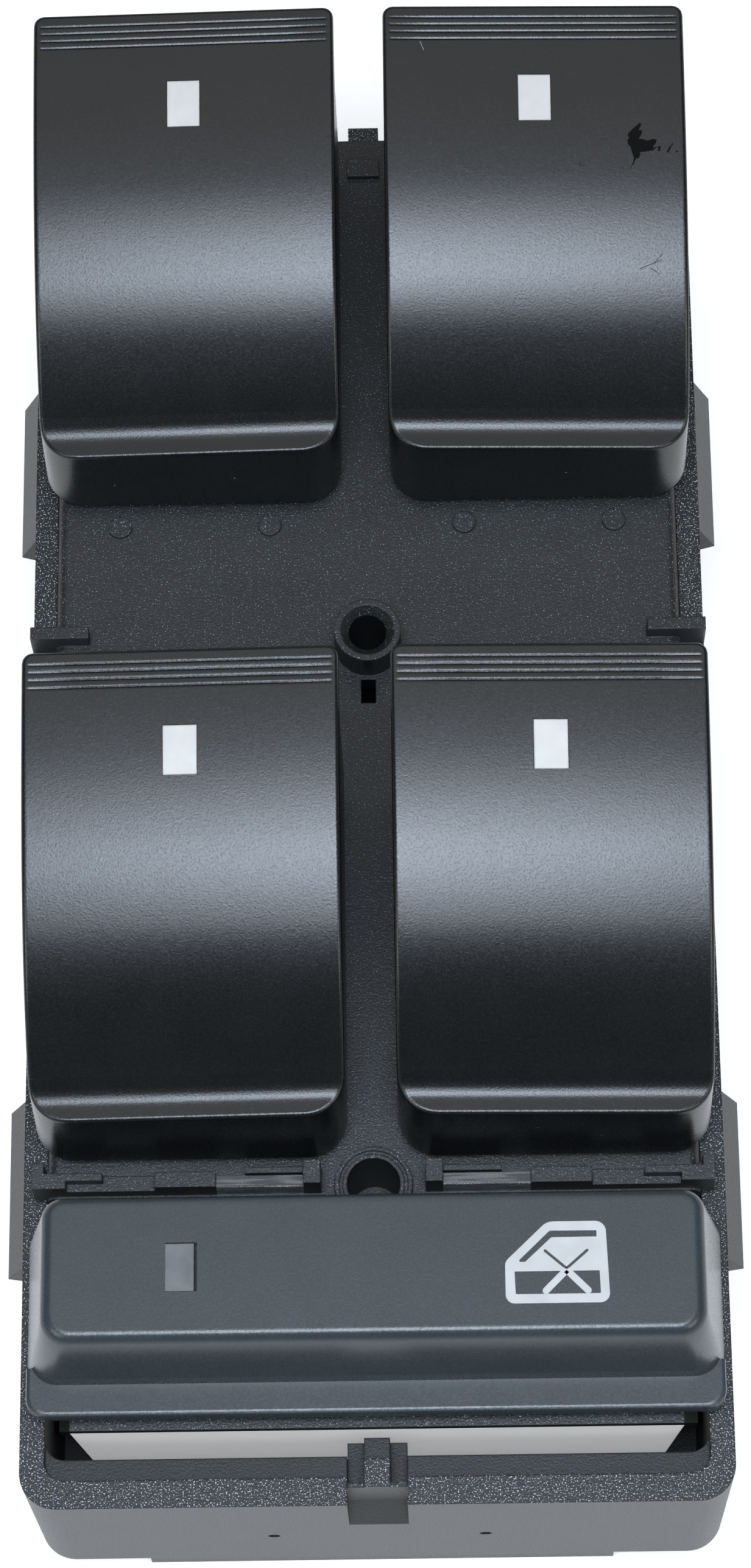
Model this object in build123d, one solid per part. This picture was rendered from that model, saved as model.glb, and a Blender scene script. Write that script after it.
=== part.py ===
from build123d import *
import math
import os

# Four-rocker master window switch with a wide lock key at its near end.
# Millimetres, X to the right, Y away from the near end, Z up.
# The origin is on the resting face, under the middle of the case.

# Case, the tub that everything sits in
side_margin = 1.2
rear_margin = 1.1
near_margin = 6.9
case_corner_r = 3.0
case_wall = 2.0
end_wall = 2.3
floor_z = 3.5
floor_t = 2.0
rim_z = 25.0
front_ledge = 1.9
front_ledge_drop = 1.0
rim_corner_r = 1.6

# Sump under the near part of the case, which the switch rests on
sump_width = 39.6
sump_length = 44.0
sump_wall = 1.6
sump_floor_t = 1.4
sump_setback = 0.3

# Niche in the middle of the near rim, with a tongue between two slots
notch_width = 4.9
notch_recess = 1.5
notch_depth = 5.0
notch_ramp = 3.0
notch_slot_depth = 3.0
notch_lip_t = 0.4
notch_lip_drop = 0.3
tongue_width = 2.1

# Notch in the middle of the rear rim, with a tongue
rear_notch_drop = 2.5
rear_tongue_width = 2.7

# Side wedges that hold the switch in its panel
wedge_reach = 1.5
wedge_length = 14.3
wedge_drop = 3.5
wedge_undercut = 0.9
wedge_rear_inset = 26.0
wedge_near_inset = 34.3

# Marks in the front wall
dimple_r = 0.5
dimple_depth = 0.3
dimple_x = 8.8
dimple_z = 12.6

# Deck, the top housing's plate
deck_z = 27.0
deck_t = 2.0
deck_gap = 0.1
deck_edge_r = 0.9
deck_front_gap = 2.3
skirt_t = 1.6
near_shelf_t = 0.8
deck_tongue_gap = 0.1
deck_tongue_width = 8.2
bracket_from_boss = 0.9
bracket_t = 1.1
bracket_height = 1.6
bracket_width = 5.0
rear_step_width = 2.8
rear_step_inset = 6.3
rear_step_length = 1.8
rear_step_height = 0.6

# Rear screw boss, between the two pairs of rockers
boss_from_lip = 8.7
boss_r = 2.85
boss_height = 3.4
boss_bore_r = 1.6
boss_bore_depth = 11.0
boss_cone = 0.7
boss_floor_t = 1.6
boss_slot_gap = 0.4
boss_slot_width = 1.25
boss_slot_length = 2.15

# Near screw boss, in the deck's front tongue
front_boss_gap = 3.0
front_boss_r = 3.2
front_boss_bore_r = 2.2
front_boss_depth = 9.0
front_boss_height = 0.8
front_groove_r = 2.85
front_groove_width = 0.3
front_groove_depth = 0.25

# Comb wall at the deck's near edge
comb_gap = 3.8
comb_t = 1.3
comb_height = 1.4
comb_side_gap = 1.0
comb_block_width = 5.0
comb_block_height = 2.5
comb_end_width = 5.8
comb_end_full = 2.8
comb_arm_t = 1.0
comb_arm_length = 0.9
comb_back_length = 4.8
comb_back_gap = 0.1
comb_back_t = 0.5
comb_post_gap = 1.1
comb_post_width = 1.4
comb_post_height = 3.3
light_bar_length = 7.2
light_bar_t = 1.0
light_bar_height = 2.1

# Rockers
rocker_gap = 4.2
rocker_width = 25.7
row_gap = 23.0
comb_room = 6.5
rocker_length = 36.0
rocker_lip_z = 48.5
rocker_corner_r = 3.3
rocker_back_r = 0.9
rocker_crown_deg = 1.7
rocker_roof = 1.6
rocker_side = 1.5
rocker_edge_r = 0.35
shelf_z = 36.0
shelf_length = 1.2
shelf_cove_r = 2.24
face_lean = 1.3
skirt_gap = 1.3
lip_overhang = 4.9
lip_thick = 2.2
lip_lean = 0.2
lip_taper = 0.5
cove_drop = 3.4
skirt_lean = 0.6
back_wall = 1.2
back_gap = 0.35
rocker_under = 4.0
pivot_from_face = 8.3
pivot_z = 31.0
pivot_r = 1.2
pivot_play = 0.05
pivot_reach = 1.8
pivot_boss_wall = 1.2
stub_wall = 0.8
stub_end_gap = 0.3
rocker_swing_deg = 6.0

# Finger ribs across the lip
rib_count = 4
rib_pitch = 0.66
rib_first = 1.15
rib_width = 0.28
rib_depth = 0.18
rib_margin = 0.9

# White windows in the rockers
window_width = 2.75
window_length = 4.0
window_from_lip = 8.45
window_play = 0.05
window_stem_inset = 0.5
window_stem = 8.0

# Ears that carry the rockers
ear_t = 2.0
ear_gap = 0.3
ear_half_y = 3.0
ear_shoulder = 1.0
ear_above_pivot = 0.8

# Pockets, legs and plungers under the rockers
leg_push_d = 7.5
leg_pull_d = 6.0
leg_width = 3.0
leg_t = 2.4
leg_tip_z = 24.5
pocket_ear_gap = 0.25
pocket_front = 2.8
pocket_back = 4.0
pocket_floor_z = 22.0
pocket_floor_t = 1.8
pocket_wall = 1.2
bump_r = 1.0
bump_from_pivot = 11.3
bump_spacing = 13.0
bump_height = 0.3
light_hole_r = 1.5
plunger_r = 1.7
plunger_play = 0.1
plunger_head_r = 2.4
plunger_head_t = 1.0
plunger_gap = 0.08

# Circuit board and what stands on it
board_z = 14.0
board_t = 1.6
board_side_gap = 0.4
board_front_inset = 8.4
board_post_r = 2.0
board_post_inset = 4.0
board_post_end = 6.0
mat_t = 0.8
dome_height = 2.0
dome_r = 3.2
dome_top_r = 2.0
dome_gap = 0.1
mat_margin = 1.0
led_size = 2.0
led_height = 0.8

# Connector
socket_from_boss = 8.6
socket_width = 24.0
socket_length = 14.0
socket_wall = 1.5
header_t = 2.0
header_gap = 0.1
pin_size = 0.64
pin_pitch = 3.0
pin_row_pitch = 2.5
pin_columns = 6
pin_end_z = 6.0
pin_above = 1.0
pin_hole_gap = 0.08

# Lock key
key_side_gap = 0.7
key_top_z = 36.3
key_top_length = 12.1
key_draft = 1.5
key_edge_r = 1.5
key_near_corner_r = 2.3
key_rear_corner_r = 1.7
key_wall = 1.5
flange_reach = 2.5
flange_z = 26.5
flange_t = 1.6
flange_corner_r = 1.5
key_stem_inset = 10.1
key_stem = 4.0
key_stem_play = 0.15
key_stem_below = 6.0
key_hook = 0.6
key_hook_height = 1.6
key_hook_gap = 0.1
key_relief_height = 3.0
key_relief_depth = 0.7
key_relief_side = 0.5
key_stem_from_rear = 7.8
lens_inset = 12.82
lens_from_rear = 5.95
lens_width = 2.45
lens_length = 3.9
lens_play = 0.05
lens_depth = 6.0
lens_sink = 0.1

# White light guide under the lock key
guide_side_gap = 4.0
guide_taper = 1.2
guide_front_inset = 6.4
guide_rear_gap = 1.8
guide_top_z = 24.0
guide_wall = 1.4
guide_low_z = 12.5
lamp_room_inset = 2.15

# How far a cut runs past the face that it opens
past = 1.0

# Distance within which an edge counts as lying on a face
TOUCH = 0.01

# Places that follow from the sizes above, from the middle of the switch outwards
rocker_inner_x = rocker_gap / 2
rocker_outer_x = rocker_inner_x + rocker_width
rocker_mid_x = rocker_inner_x + rocker_width / 2
half_w = rocker_outer_x + side_margin
case_width = 2 * half_w
key_length = flange_reach + key_draft + key_top_length
rocker_pitch = rocker_length + row_gap
case_length = near_margin + key_length + comb_room + rocker_pitch + rocker_length + rear_margin
half_l = case_length / 2
flange_front = near_margin - half_l
key_front_low = flange_front + flange_reach
key_front_top = key_front_low + key_draft
key_rear_y = key_front_top + key_top_length
key_width = case_width - 2 * key_side_gap
key_stem_x = key_width / 2 - key_stem_inset
key_stem_y = key_rear_y - key_stem_from_rear
lens_x = lens_inset - key_width / 2
lens_y = key_rear_y - lens_from_rear
guide_width = case_width - 2 * guide_side_gap
guide_front_y = guide_front_inset - half_l
guide_rear_y = key_rear_y - guide_rear_gap
deck_front_y = key_rear_y + deck_front_gap
deck_tongue_y = key_rear_y + deck_tongue_gap
front_boss_y = key_rear_y + front_boss_gap
comb_y = key_rear_y + comb_gap
comb_x = half_w - comb_side_gap
comb_post_x = front_boss_r + comb_post_gap
comb_block_x = comb_post_x + comb_post_width + light_bar_length
rocker_rear_y = half_l - rear_margin
boss_y = rocker_rear_y - rocker_pitch + boss_from_lip
bracket_y = boss_y + bracket_from_boss
bracket_x = half_w - bracket_width
rear_step_y = half_l - rear_step_inset
socket_y = boss_y + socket_from_boss
board_front_y = board_front_inset - half_l
inner_x = half_w - case_wall
inner_rear_y = half_l - end_wall
inner_front_y = -half_l + end_wall + front_ledge
deck_half_x = inner_x - deck_gap
deck_rear_y = inner_rear_y - deck_gap
board_top = board_z + board_t
board_half_x = inner_x - board_side_gap
deck_low = deck_z - deck_t
pocket_low = pocket_floor_z - pocket_floor_t
pivot_y = rocker_rear_y - rocker_length + pivot_from_face
ear_reach = rocker_side + pivot_reach + ear_gap
pocket_half_x = rocker_width / 2 - ear_reach - ear_t - pocket_ear_gap
lip_y = rocker_rear_y - pivot_y
front_y = lip_y - rocker_length
plunger_top = leg_tip_z - plunger_gap
dome_top = board_top + mat_t + dome_height
plunger_low = dome_top + dome_gap
flange_top = flange_z + flange_t
window_y = rocker_rear_y - window_from_lip
SIDES = {"left": -1, "right": 1}

# Course of a rocker's top, from the lip to the cove before the shelf:
# share of the length, share of the drop, and slope in degrees
ROOF_ALONG = (0.0, 0.255, 0.451, 0.661, 0.842, 1.0)
ROOF_DOWN = (0.0, 0.082, 0.193, 0.387, 0.656, 1.0)
ROOF_SLOPES = (4, 9, 14, 22, 34, 43)
ROWS = {"rear": 0.0, "front": -rocker_pitch}


def block(x0, x1, y0, y1, z0, z1):
    """A box between two corners."""
    size = Box(x1 - x0, y1 - y0, z1 - z0)
    return Pos((x0 + x1) / 2, (y0 + y1) / 2, (z0 + z1) / 2) * size


def post(x, y, z0, z1, r):
    """An upright cylinder between two levels."""
    return Pos(x, y, (z0 + z1) / 2) * Cylinder(r, z1 - z0)


def cross_pin(x0, x1, y, z, r):
    """A cylinder along X."""
    return Pos((x0 + x1) / 2, y, z) * Rot(0, 90, 0) * Cylinder(r, x1 - x0)


def plate(width, length, y_mid, z0, z1, r):
    """A plate with rounded corners in plan."""
    sketch = Pos(0, y_mid, z0) * RectangleRounded(width, length, r)
    return extrude(sketch, z1 - z0)


def mirrored(shape, side):
    """The same piece on the left or the right of the switch."""
    return shape if side > 0 else mirror(shape, about=Plane.YZ)


def rocker_places():
    """Every rocker with its name, side and shift along Y."""
    for row, shift in ROWS.items():
        for side_name, side in SIDES.items():
            yield f"{row}_{side_name}", side, shift


def legs():
    """The two legs of a rocker, with their distance from the pivot."""
    return {"push": leg_push_d, "pull": -leg_pull_d}


def base_case():
    """Tub with sump, connector socket, board posts, rim notches and wedges."""
    body = plate(case_width, case_length, 0, floor_z, rim_z, case_corner_r)
    sump_y0 = -half_l + sump_setback
    body += block(-sump_width / 2, sump_width / 2, sump_y0, sump_y0 + sump_length, 0, floor_z + floor_t)
    cavity_top = rim_z + past
    body -= round_near(block(-inner_x, inner_x, inner_front_y, inner_rear_y, floor_z + floor_t, cavity_top))
    body -= round_near(block(-inner_x, inner_x, inner_front_y - front_ledge, inner_front_y + rim_corner_r,
                             rim_z - front_ledge_drop, cavity_top))
    body -= block(-sump_width / 2 + sump_wall, sump_width / 2 - sump_wall,
                  inner_front_y, sump_y0 + sump_length - sump_wall, sump_floor_t, floor_z + floor_t + past)
    body += socket_shell()
    body -= block(-socket_width / 2, socket_width / 2, socket_y - socket_length / 2,
                  socket_y + socket_length / 2, -past, board_z + past)
    body -= near_notch_space()
    body += near_notch_body()
    body -= rear_notch_part(notch_width / 2, past)
    body += rear_notch_part(rear_tongue_width / 2, 0)
    for side in SIDES.values():
        for rear_y in (half_l - wedge_rear_inset, wedge_near_inset - half_l):
            body += mirrored(wedge(rear_y), side)
        body -= Pos(side * dimple_x, -half_l, dimple_z) * Rot(90, 0, 0) * Cylinder(dimple_r, 2 * dimple_depth)
    for x in (-board_half_x + board_post_inset, board_half_x - board_post_inset):
        for y in (board_front_y + board_post_end, 0, inner_rear_y - board_post_end):
            body += post(x, y, floor_z, board_z, board_post_r)
    return body


def socket_shell():
    """Outer block of the connector socket, down to the resting face."""
    return block(-socket_width / 2 - socket_wall, socket_width / 2 + socket_wall,
                 socket_y - socket_length / 2 - socket_wall, socket_y + socket_length / 2 + socket_wall,
                 0, board_z - header_gap)


def round_near(space):
    """The same space with its two near upright edges rounded."""
    return fillet(space.edges().filter_by(Axis.Z).sort_by(Axis.Y)[0:2], rim_corner_r)


def near_notch_space():
    """Room cut from the near rim: the niche outside, its ramp, and the slots beside the tongue."""
    y_niche = notch_recess - half_l
    y_far = inner_front_y + past
    low = rim_z - notch_depth
    slot_z = rim_z - notch_slot_depth
    outline = Polyline((-half_l - past, rim_z + past), (y_far, rim_z + past), (y_far, slot_z),
                       (y_niche, slot_z), (y_niche, low), (-half_l, low - notch_ramp),
                       (-half_l - past, low - notch_ramp), close=True)
    return extrude(Plane.YZ.offset(-notch_width / 2) * make_face(outline), notch_width)


def near_notch_body():
    """Bracket behind the niche, with the tongue that follows the rim and its ledge."""
    half, tongue = notch_width / 2, tongue_width / 2
    y_niche = notch_recess - half_l
    y_in = inner_front_y + notch_recess
    low = rim_z - notch_depth
    body = block(-half, half, y_niche, y_in, low, rim_z - notch_slot_depth)
    body += block(-half, half, y_niche, y_niche + notch_lip_t, low, rim_z - notch_lip_drop)
    body += block(-tongue, tongue, y_niche, y_in, low, rim_z - front_ledge_drop)
    return body + block(-tongue, tongue, y_niche, y_niche + end_wall, low, rim_z)


def rear_notch_part(half, margin):
    """Block in the rear rim, as wide as the notch or its tongue."""
    return block(-half, half, inner_rear_y - margin, half_l + margin, rim_z - rear_notch_drop, rim_z + margin)


def wedge(rear_y):
    """One wedge on the right wall, whose outer face slopes out and down from the rim."""
    root = half_w - case_wall / 2
    tip = half_w + wedge_reach
    low = rim_z - wedge_drop
    profile = Polyline((root, rim_z), (half_w, rim_z), (tip, low), (half_w, low - wedge_undercut),
                       (root, low - wedge_undercut), close=True)
    return extrude(Plane.XZ.offset(-rear_y) * make_face(profile), wedge_length)


def top_housing():
    """Deck with its skirt, rocker ears, plunger pockets, screw bosses and comb."""
    depth = deck_rear_y - deck_front_y
    middle = (deck_rear_y + deck_front_y) / 2
    body = Pos(0, middle, (deck_z + deck_low) / 2) * Box(2 * deck_half_x, depth, deck_t)
    long_edges = body.edges().filter_by(Axis.Y).group_by(Axis.Z)[-1]
    body = fillet(long_edges, deck_edge_r)
    skirt = block(-deck_half_x, deck_half_x, deck_front_y, deck_rear_y, board_top, deck_low)
    skirt -= block(-deck_half_x + skirt_t, deck_half_x - skirt_t, deck_front_y + skirt_t,
                   deck_rear_y - skirt_t, board_top - past, deck_low + past)
    body += skirt
    body += block(-deck_tongue_width / 2, deck_tongue_width / 2, deck_tongue_y, deck_front_y + past,
                  deck_low, deck_z)
    body += near_shelf()
    for side in SIDES.values():
        body += mirrored(block(bracket_x, half_w, bracket_y - bracket_t / 2, bracket_y + bracket_t / 2,
                               rim_z, deck_z + bracket_height), side)
    body += comb()
    body += block(-rear_step_width / 2, rear_step_width / 2, rear_step_y, rear_step_y + rear_step_length,
                  deck_low, deck_z + rear_step_height)
    for shift in ROWS.values():
        for side in SIDES.values():
            body += mirrored(Pos(0, shift, 0) * ears(), side)
            body += mirrored(Pos(0, shift, 0) * pocket(), side)
            body -= mirrored(Pos(0, shift, 0) * pocket_space(), side)
    for side in SIDES.values():
        body += mirrored(bumps(), side)
    body += post(0, boss_y, boss_floor(), deck_z + boss_height, boss_r)
    body -= boss_space()
    body += post(0, front_boss_y, front_boss_floor(), deck_z + front_boss_height, front_boss_r)
    body -= front_boss_space()
    return body


def near_shelf():
    """Shelf under the lock key, over the light guide, with holes for the key's stems and its lamp."""
    half = guide_width / 2
    shelf = block(-half, half, guide_front_y, deck_front_y + skirt_t, guide_top_z, guide_top_z + near_shelf_t)
    return shelf - stem_rooms() - lamp_room()


def stem_rooms():
    """Room for the key's three stems through the shelf and the light guide."""
    room = key_stem / 2 + key_stem_play
    rooms = [block(x - room, x + room, key_stem_y - room, key_stem_y + room,
                   guide_top_z - guide_wall - past, guide_top_z + near_shelf_t + past)
             for x in (-key_stem_x, 0, key_stem_x)]
    return rooms[0] + rooms[1] + rooms[2]


def lamp_room():
    """Room for the lens's light through the shelf and the light guide."""
    return block(lens_x - lens_width / 2, lens_x + lens_width / 2,
                 lens_y - lens_length / 2 + lamp_room_inset, guide_rear_y - 2 * guide_wall,
                 guide_top_z - guide_wall - past, guide_top_z + near_shelf_t + past)


def boss_floor():
    """Lower end of the rear boss."""
    return deck_z + boss_height - boss_bore_depth - boss_floor_t


def front_boss_floor():
    """Lower end of the near boss."""
    return deck_z + front_boss_height - front_boss_depth - boss_floor_t


def boss_space():
    """Bore of the rear boss with its conical mouth, and the slot beside it."""
    mouth_z = deck_z + boss_height
    hole = post(0, boss_y, mouth_z - boss_bore_depth, mouth_z + past, boss_bore_r)
    mouth = Pos(0, boss_y, mouth_z - boss_cone / 2) * Cone(boss_bore_r, boss_bore_r + boss_cone, boss_cone)
    y_far = boss_y - boss_r - boss_slot_gap
    slot = block(-boss_slot_width / 2, boss_slot_width / 2, y_far - boss_slot_length, y_far,
                 deck_low - past, deck_z + past)
    return hole + mouth + slot


def front_boss_space():
    """Bore of the near boss and the ring groove round it."""
    mouth_z = deck_z + front_boss_height
    hole = post(0, front_boss_y, mouth_z - front_boss_depth, mouth_z + past, front_boss_bore_r)
    ring = post(0, front_boss_y, mouth_z - front_groove_depth, mouth_z + past, front_groove_r)
    ring -= post(0, front_boss_y, mouth_z - past, mouth_z + past, front_groove_r - front_groove_width)
    return hole + ring


def comb():
    """Low wall with blocks and posts at the deck's near edge."""
    y0, y1 = comb_y - comb_t, comb_y
    base = deck_z - deck_edge_r
    parts = block(comb_post_x, comb_x, y0, y1, base, deck_z + comb_height)
    parts += block(comb_block_x, comb_block_x + comb_block_width, y0, y1, base, deck_z + comb_block_height)
    top = deck_z + comb_block_height
    parts += block(comb_x - comb_end_width, comb_x, (y0 + y1) / 2, y1, base, top)
    parts += block(comb_x - comb_end_full, comb_x, y0, y1, base, top)
    parts += block(comb_x - comb_arm_t, comb_x, y1, y1 + comb_arm_length, base, top)
    parts += block(comb_post_x, comb_post_x + comb_post_width, y0, y1 + comb_t / 2, base,
                   deck_z + comb_post_height)
    parts -= bar_space()
    back_y = y0 + light_bar_t + comb_back_gap
    inner = comb_post_x + comb_post_width
    parts += block(inner, inner + comb_back_length, back_y, back_y + comb_back_t, base, top)
    return parts + mirror(parts, about=Plane.YZ)


def bar_space():
    """Seat of a light bar in the comb, between a post and a block."""
    return block(comb_post_x + comb_post_width, comb_block_x, comb_y - comb_t - past, comb_y + past,
                 deck_z, deck_z + comb_height + past)


def light_bars():
    """Two clear bars that lie in the comb."""
    bar = block(comb_post_x + comb_post_width, comb_block_x, comb_y - comb_t, comb_y - comb_t + light_bar_t,
                deck_z, deck_z + light_bar_height)
    return [mirrored(bar, side) for side in SIDES.values()]


def ears():
    """The two ears that carry a right rocker, with their pivot stubs."""
    near_x = rocker_inner_x + ear_reach
    far_x = rocker_outer_x - ear_reach
    top_half = pivot_r + ear_shoulder
    top_z = pivot_z + ear_above_pivot
    ear_profile = Polyline((pivot_y - ear_half_y, deck_low), (pivot_y + ear_half_y, deck_low),
                           (pivot_y + top_half, top_z), (pivot_y - top_half, top_z), close=True)
    face = Plane.YZ * make_face(ear_profile)
    solids = Pos(near_x, 0, 0) * extrude(face, ear_t)
    solids += Pos(far_x - ear_t, 0, 0) * extrude(face, ear_t)
    solids += cross_pin(rocker_inner_x + stub_wall + stub_end_gap, near_x + ear_t, pivot_y, pivot_z, pivot_r)
    solids += cross_pin(far_x - ear_t, rocker_outer_x - stub_wall - stub_end_gap, pivot_y, pivot_z, pivot_r)
    return solids


def pocket_span():
    """Near and far end of the opening under a rocker, along Y."""
    return pivot_y - leg_pull_d - pocket_front, pivot_y + leg_push_d + pocket_back


def pocket():
    """Cup below the deck that guides the plungers of a right rocker."""
    y0, y1 = pocket_span()
    return block(rocker_mid_x - pocket_half_x - pocket_wall, rocker_mid_x + pocket_half_x + pocket_wall,
                 y0 - pocket_wall, y1 + pocket_wall, pocket_low, deck_low)


def pocket_space():
    """Inside of that cup, with the plunger holes and the light hole below the window."""
    y0, y1 = pocket_span()
    space = block(rocker_mid_x - pocket_half_x, rocker_mid_x + pocket_half_x, y0, y1,
                  pocket_floor_z, deck_z + past)
    for d in legs().values():
        space += post(rocker_mid_x, pivot_y + d, pocket_low - past, pocket_floor_z + past,
                      plunger_r + plunger_play)
    space += post(rocker_mid_x, window_y, deck_low - past, deck_z + past, light_hole_r)
    return space


def bumps():
    """The two bumps on the deck, at the near face of the rear right rocker."""
    y = pivot_y - bump_from_pivot
    first = post(rocker_mid_x - bump_spacing / 2, y, deck_low, deck_z + bump_height, bump_r)
    return first + Pos(bump_spacing, 0, 0) * first


def roof_points():
    """Course of the rocker's top from the lip to the cove, as points about the pivot."""
    slope = math.radians(ROOF_SLOPES[-1])
    run = rocker_length - shelf_length - shelf_cove_r * math.sin(slope)
    drop = rocker_lip_z - shelf_z - shelf_cove_r * (1 - math.cos(slope))
    return [(lip_y - run * along, rocker_lip_z - pivot_z - drop * down)
            for along, down in zip(ROOF_ALONG, ROOF_DOWN)]


def direction(degrees):
    """Unit direction towards the near end, sloping down."""
    angle = math.radians(degrees)
    return (-math.cos(angle), -math.sin(angle))


def rocker_outline():
    """Side view of a rocker, with the pivot at the origin."""
    roof = roof_points()
    shelf_y = front_y + shelf_length
    shelf_h = shelf_z - pivot_z
    far_front = front_y - face_lean - past
    low = deck_z - pivot_z - past
    back_y = lip_y - lip_overhang
    under = rocker_lip_z - pivot_z - lip_thick
    lip_foot = (lip_y - lip_lean, under + lip_taper)
    with BuildLine() as line:
        Spline(*roof, tangents=[direction(ROOF_SLOPES[0]), direction(ROOF_SLOPES[-1])])
        TangentArc(roof[-1], (shelf_y, shelf_h), tangent=direction(ROOF_SLOPES[-1]))
        Polyline((shelf_y, shelf_h), (far_front, shelf_h), (far_front, low),
                 (back_y + skirt_lean, low), (back_y, under - cove_drop))
        Spline((back_y, under - cove_drop), lip_foot, tangents=[(0, 1), (1, 0)])
        Polyline(lip_foot, roof[0])
    return make_face(line.line)


def back_drop():
    """Gap from the deck to the rocker's skirt at its rear wall."""
    reach = lip_y - lip_overhang
    return reach * math.sin(math.radians(rocker_swing_deg)) + back_gap


def above_skirt():
    """Space above a right rocker's lower edge, which clears the deck when the rocker tilts."""
    front = pivot_y + front_y
    back = pivot_y + lip_y - lip_overhang
    low_front = deck_z + skirt_gap
    low_back = deck_z + back_drop()
    far_front = front - face_lean - past
    far_back = rocker_rear_y + past
    top = rocker_lip_z + past
    outline = Polyline((far_front, low_front), (front, low_front), (back, low_back), (far_back, low_back),
                       (far_back, top), (far_front, top), close=True)
    side = Plane.YZ.offset(rocker_inner_x - past) * make_face(outline)
    return extrude(side, rocker_width + 2 * past)


def inner_outline():
    """Side view of the hollow in a rocker, with the pivot at the origin."""
    points = []
    for (y, z), slope in zip(roof_points()[1:], ROOF_SLOPES[1:]):
        down, side = direction(slope)
        points.append((y + side * rocker_roof, z + down * rocker_roof))
    back = lip_y - lip_overhang - back_wall
    first = (back, points[0][1] + (back - points[0][0]) * math.tan(math.radians(ROOF_SLOPES[1])))
    face_in = front_y + rocker_side
    low = deck_z - pivot_z - past
    shelf_in = shelf_z - pivot_z - rocker_roof
    with BuildLine() as line:
        Spline(first, *points)
        Polyline(points[-1], (points[-1][0] - rocker_roof / 2, shelf_in), (face_in, shelf_in),
                 (face_in - face_lean, low), (back, low), first)
    return make_face(line.line)


def crown_line():
    """Line along the top's inner edge, about which the top leans outwards."""
    return Axis((rocker_inner_x, 0, rocker_lip_z), (0, 1, 0))


def rocker_skin():
    """Outer form of a right rocker, without its plan outline."""
    prism = extrude(Plane.YZ.offset(rocker_inner_x - past) * rocker_outline(), rocker_width + 2 * past)
    return (Pos(0, pivot_y, pivot_z) * prism).rotate(crown_line(), rocker_crown_deg)


def rocker():
    """One right rocker with its hollow, pivot bosses, legs, ribs and window hole."""
    shape = rocker_skin() & rocker_plan() & above_skirt()
    shape = fillet(roof_edges(shape), rocker_edge_r)
    hollow = extrude(Plane.YZ.offset(rocker_inner_x + rocker_side) * inner_outline(),
                     rocker_width - 2 * rocker_side)
    hollow = Pos(0, pivot_y, pivot_z) * hollow
    hollow = hollow.rotate(crown_line(), rocker_crown_deg)
    shape -= hollow
    reach = rocker_side + pivot_reach
    for x0, x1 in ((rocker_inner_x, rocker_inner_x + reach), (rocker_outer_x - reach, rocker_outer_x)):
        shape += cross_pin(max(x0, rocker_inner_x + stub_wall / 2), min(x1, rocker_outer_x - stub_wall / 2),
                           pivot_y, pivot_z, pivot_r + pivot_boss_wall)
    bore_r = pivot_r + pivot_play
    shape -= cross_pin(rocker_inner_x + stub_wall, rocker_inner_x + reach + past, pivot_y, pivot_z, bore_r)
    shape -= cross_pin(rocker_outer_x - reach - past, rocker_outer_x - stub_wall, pivot_y, pivot_z, bore_r)
    for d in legs().values():
        shape += leg(d)
    shape -= window_hole()
    for index in range(rib_count):
        shape -= rib_groove(index)
    return shape


def roof_edges(shape):
    """The edges along both sides of a rocker's top and along the front of its shelf."""
    picked = []
    for edge in shape.edges():
        middle = edge.position_at(0.5)
        on_side = min(middle.X - rocker_inner_x, rocker_outer_x - middle.X) < TOUCH
        on_front = abs(middle.Y - pivot_y - front_y) < face_lean / 2
        near_roof = abs(middle.Z - roof_z(middle.Y - pivot_y)) < rocker_roof / 2
        if (on_side or on_front) and near_roof and edge.length > rocker_width / 2:
            picked.append(edge)
    return picked


def rocker_plan():
    """Plan outline of a rocker, raised to a prism whose near wall leans back."""
    prism = block(rocker_inner_x, rocker_outer_x, pivot_y + front_y - face_lean - past, rocker_rear_y,
                  deck_z - past, rocker_lip_z + past)
    upright = prism.edges().filter_by(Axis.Z).sort_by(Axis.Y)
    return fillet(upright[-2:], rocker_back_r) & near_corners()


def near_corners():
    """Leaning near wall with its round corners, lofted between two levels."""
    lean = face_lean / (shelf_z - deck_z - skirt_gap)
    outlines = []
    for z in (deck_z - past, rocker_lip_z + past):
        near_y = pivot_y + front_y + lean * (z - shelf_z)
        outline = Polyline((rocker_inner_x, near_y), (rocker_outer_x, near_y),
                           (rocker_outer_x, rocker_rear_y + past), (rocker_inner_x, rocker_rear_y + past),
                           close=True)
        sketch = Pos(0, 0, z) * make_face(outline)
        outlines.append(fillet(sketch.vertices().sort_by(Axis.Y)[0:2], rocker_corner_r))
    return loft(outlines)


def leg(d):
    """Leg from the rocker's roof to the plunger, with a round tip."""
    y = pivot_y + d
    roof = roof_z(d) - rocker_roof / 2
    solid = block(rocker_mid_x - leg_width / 2, rocker_mid_x + leg_width / 2, y - leg_t / 2, y + leg_t / 2,
                  leg_tip_z + leg_t / 2, roof)
    tip = cross_pin(rocker_mid_x - leg_width / 2, rocker_mid_x + leg_width / 2, y, leg_tip_z + leg_t / 2,
                    leg_t / 2)
    return solid + tip


def roof_z(d, x=None):
    """Height of a right rocker's top at a distance from the pivot, in its middle or at an X."""
    across = (rocker_mid_x if x is None else x) - rocker_inner_x
    lean = across * math.tan(math.radians(rocker_crown_deg))
    points = roof_points()
    for (y1, z1), (y0, z0) in zip(points, points[1:]):
        if y0 <= d <= y1:
            return pivot_z + z0 + (z1 - z0) * (d - y0) / (y1 - y0) - lean
    return shelf_z - lean


def rocker_mid_z():
    """Height in a rocker below its roof and above its legs' tips."""
    return (roof_z(window_y - pivot_y) - rocker_roof + deck_z) / 2


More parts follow.
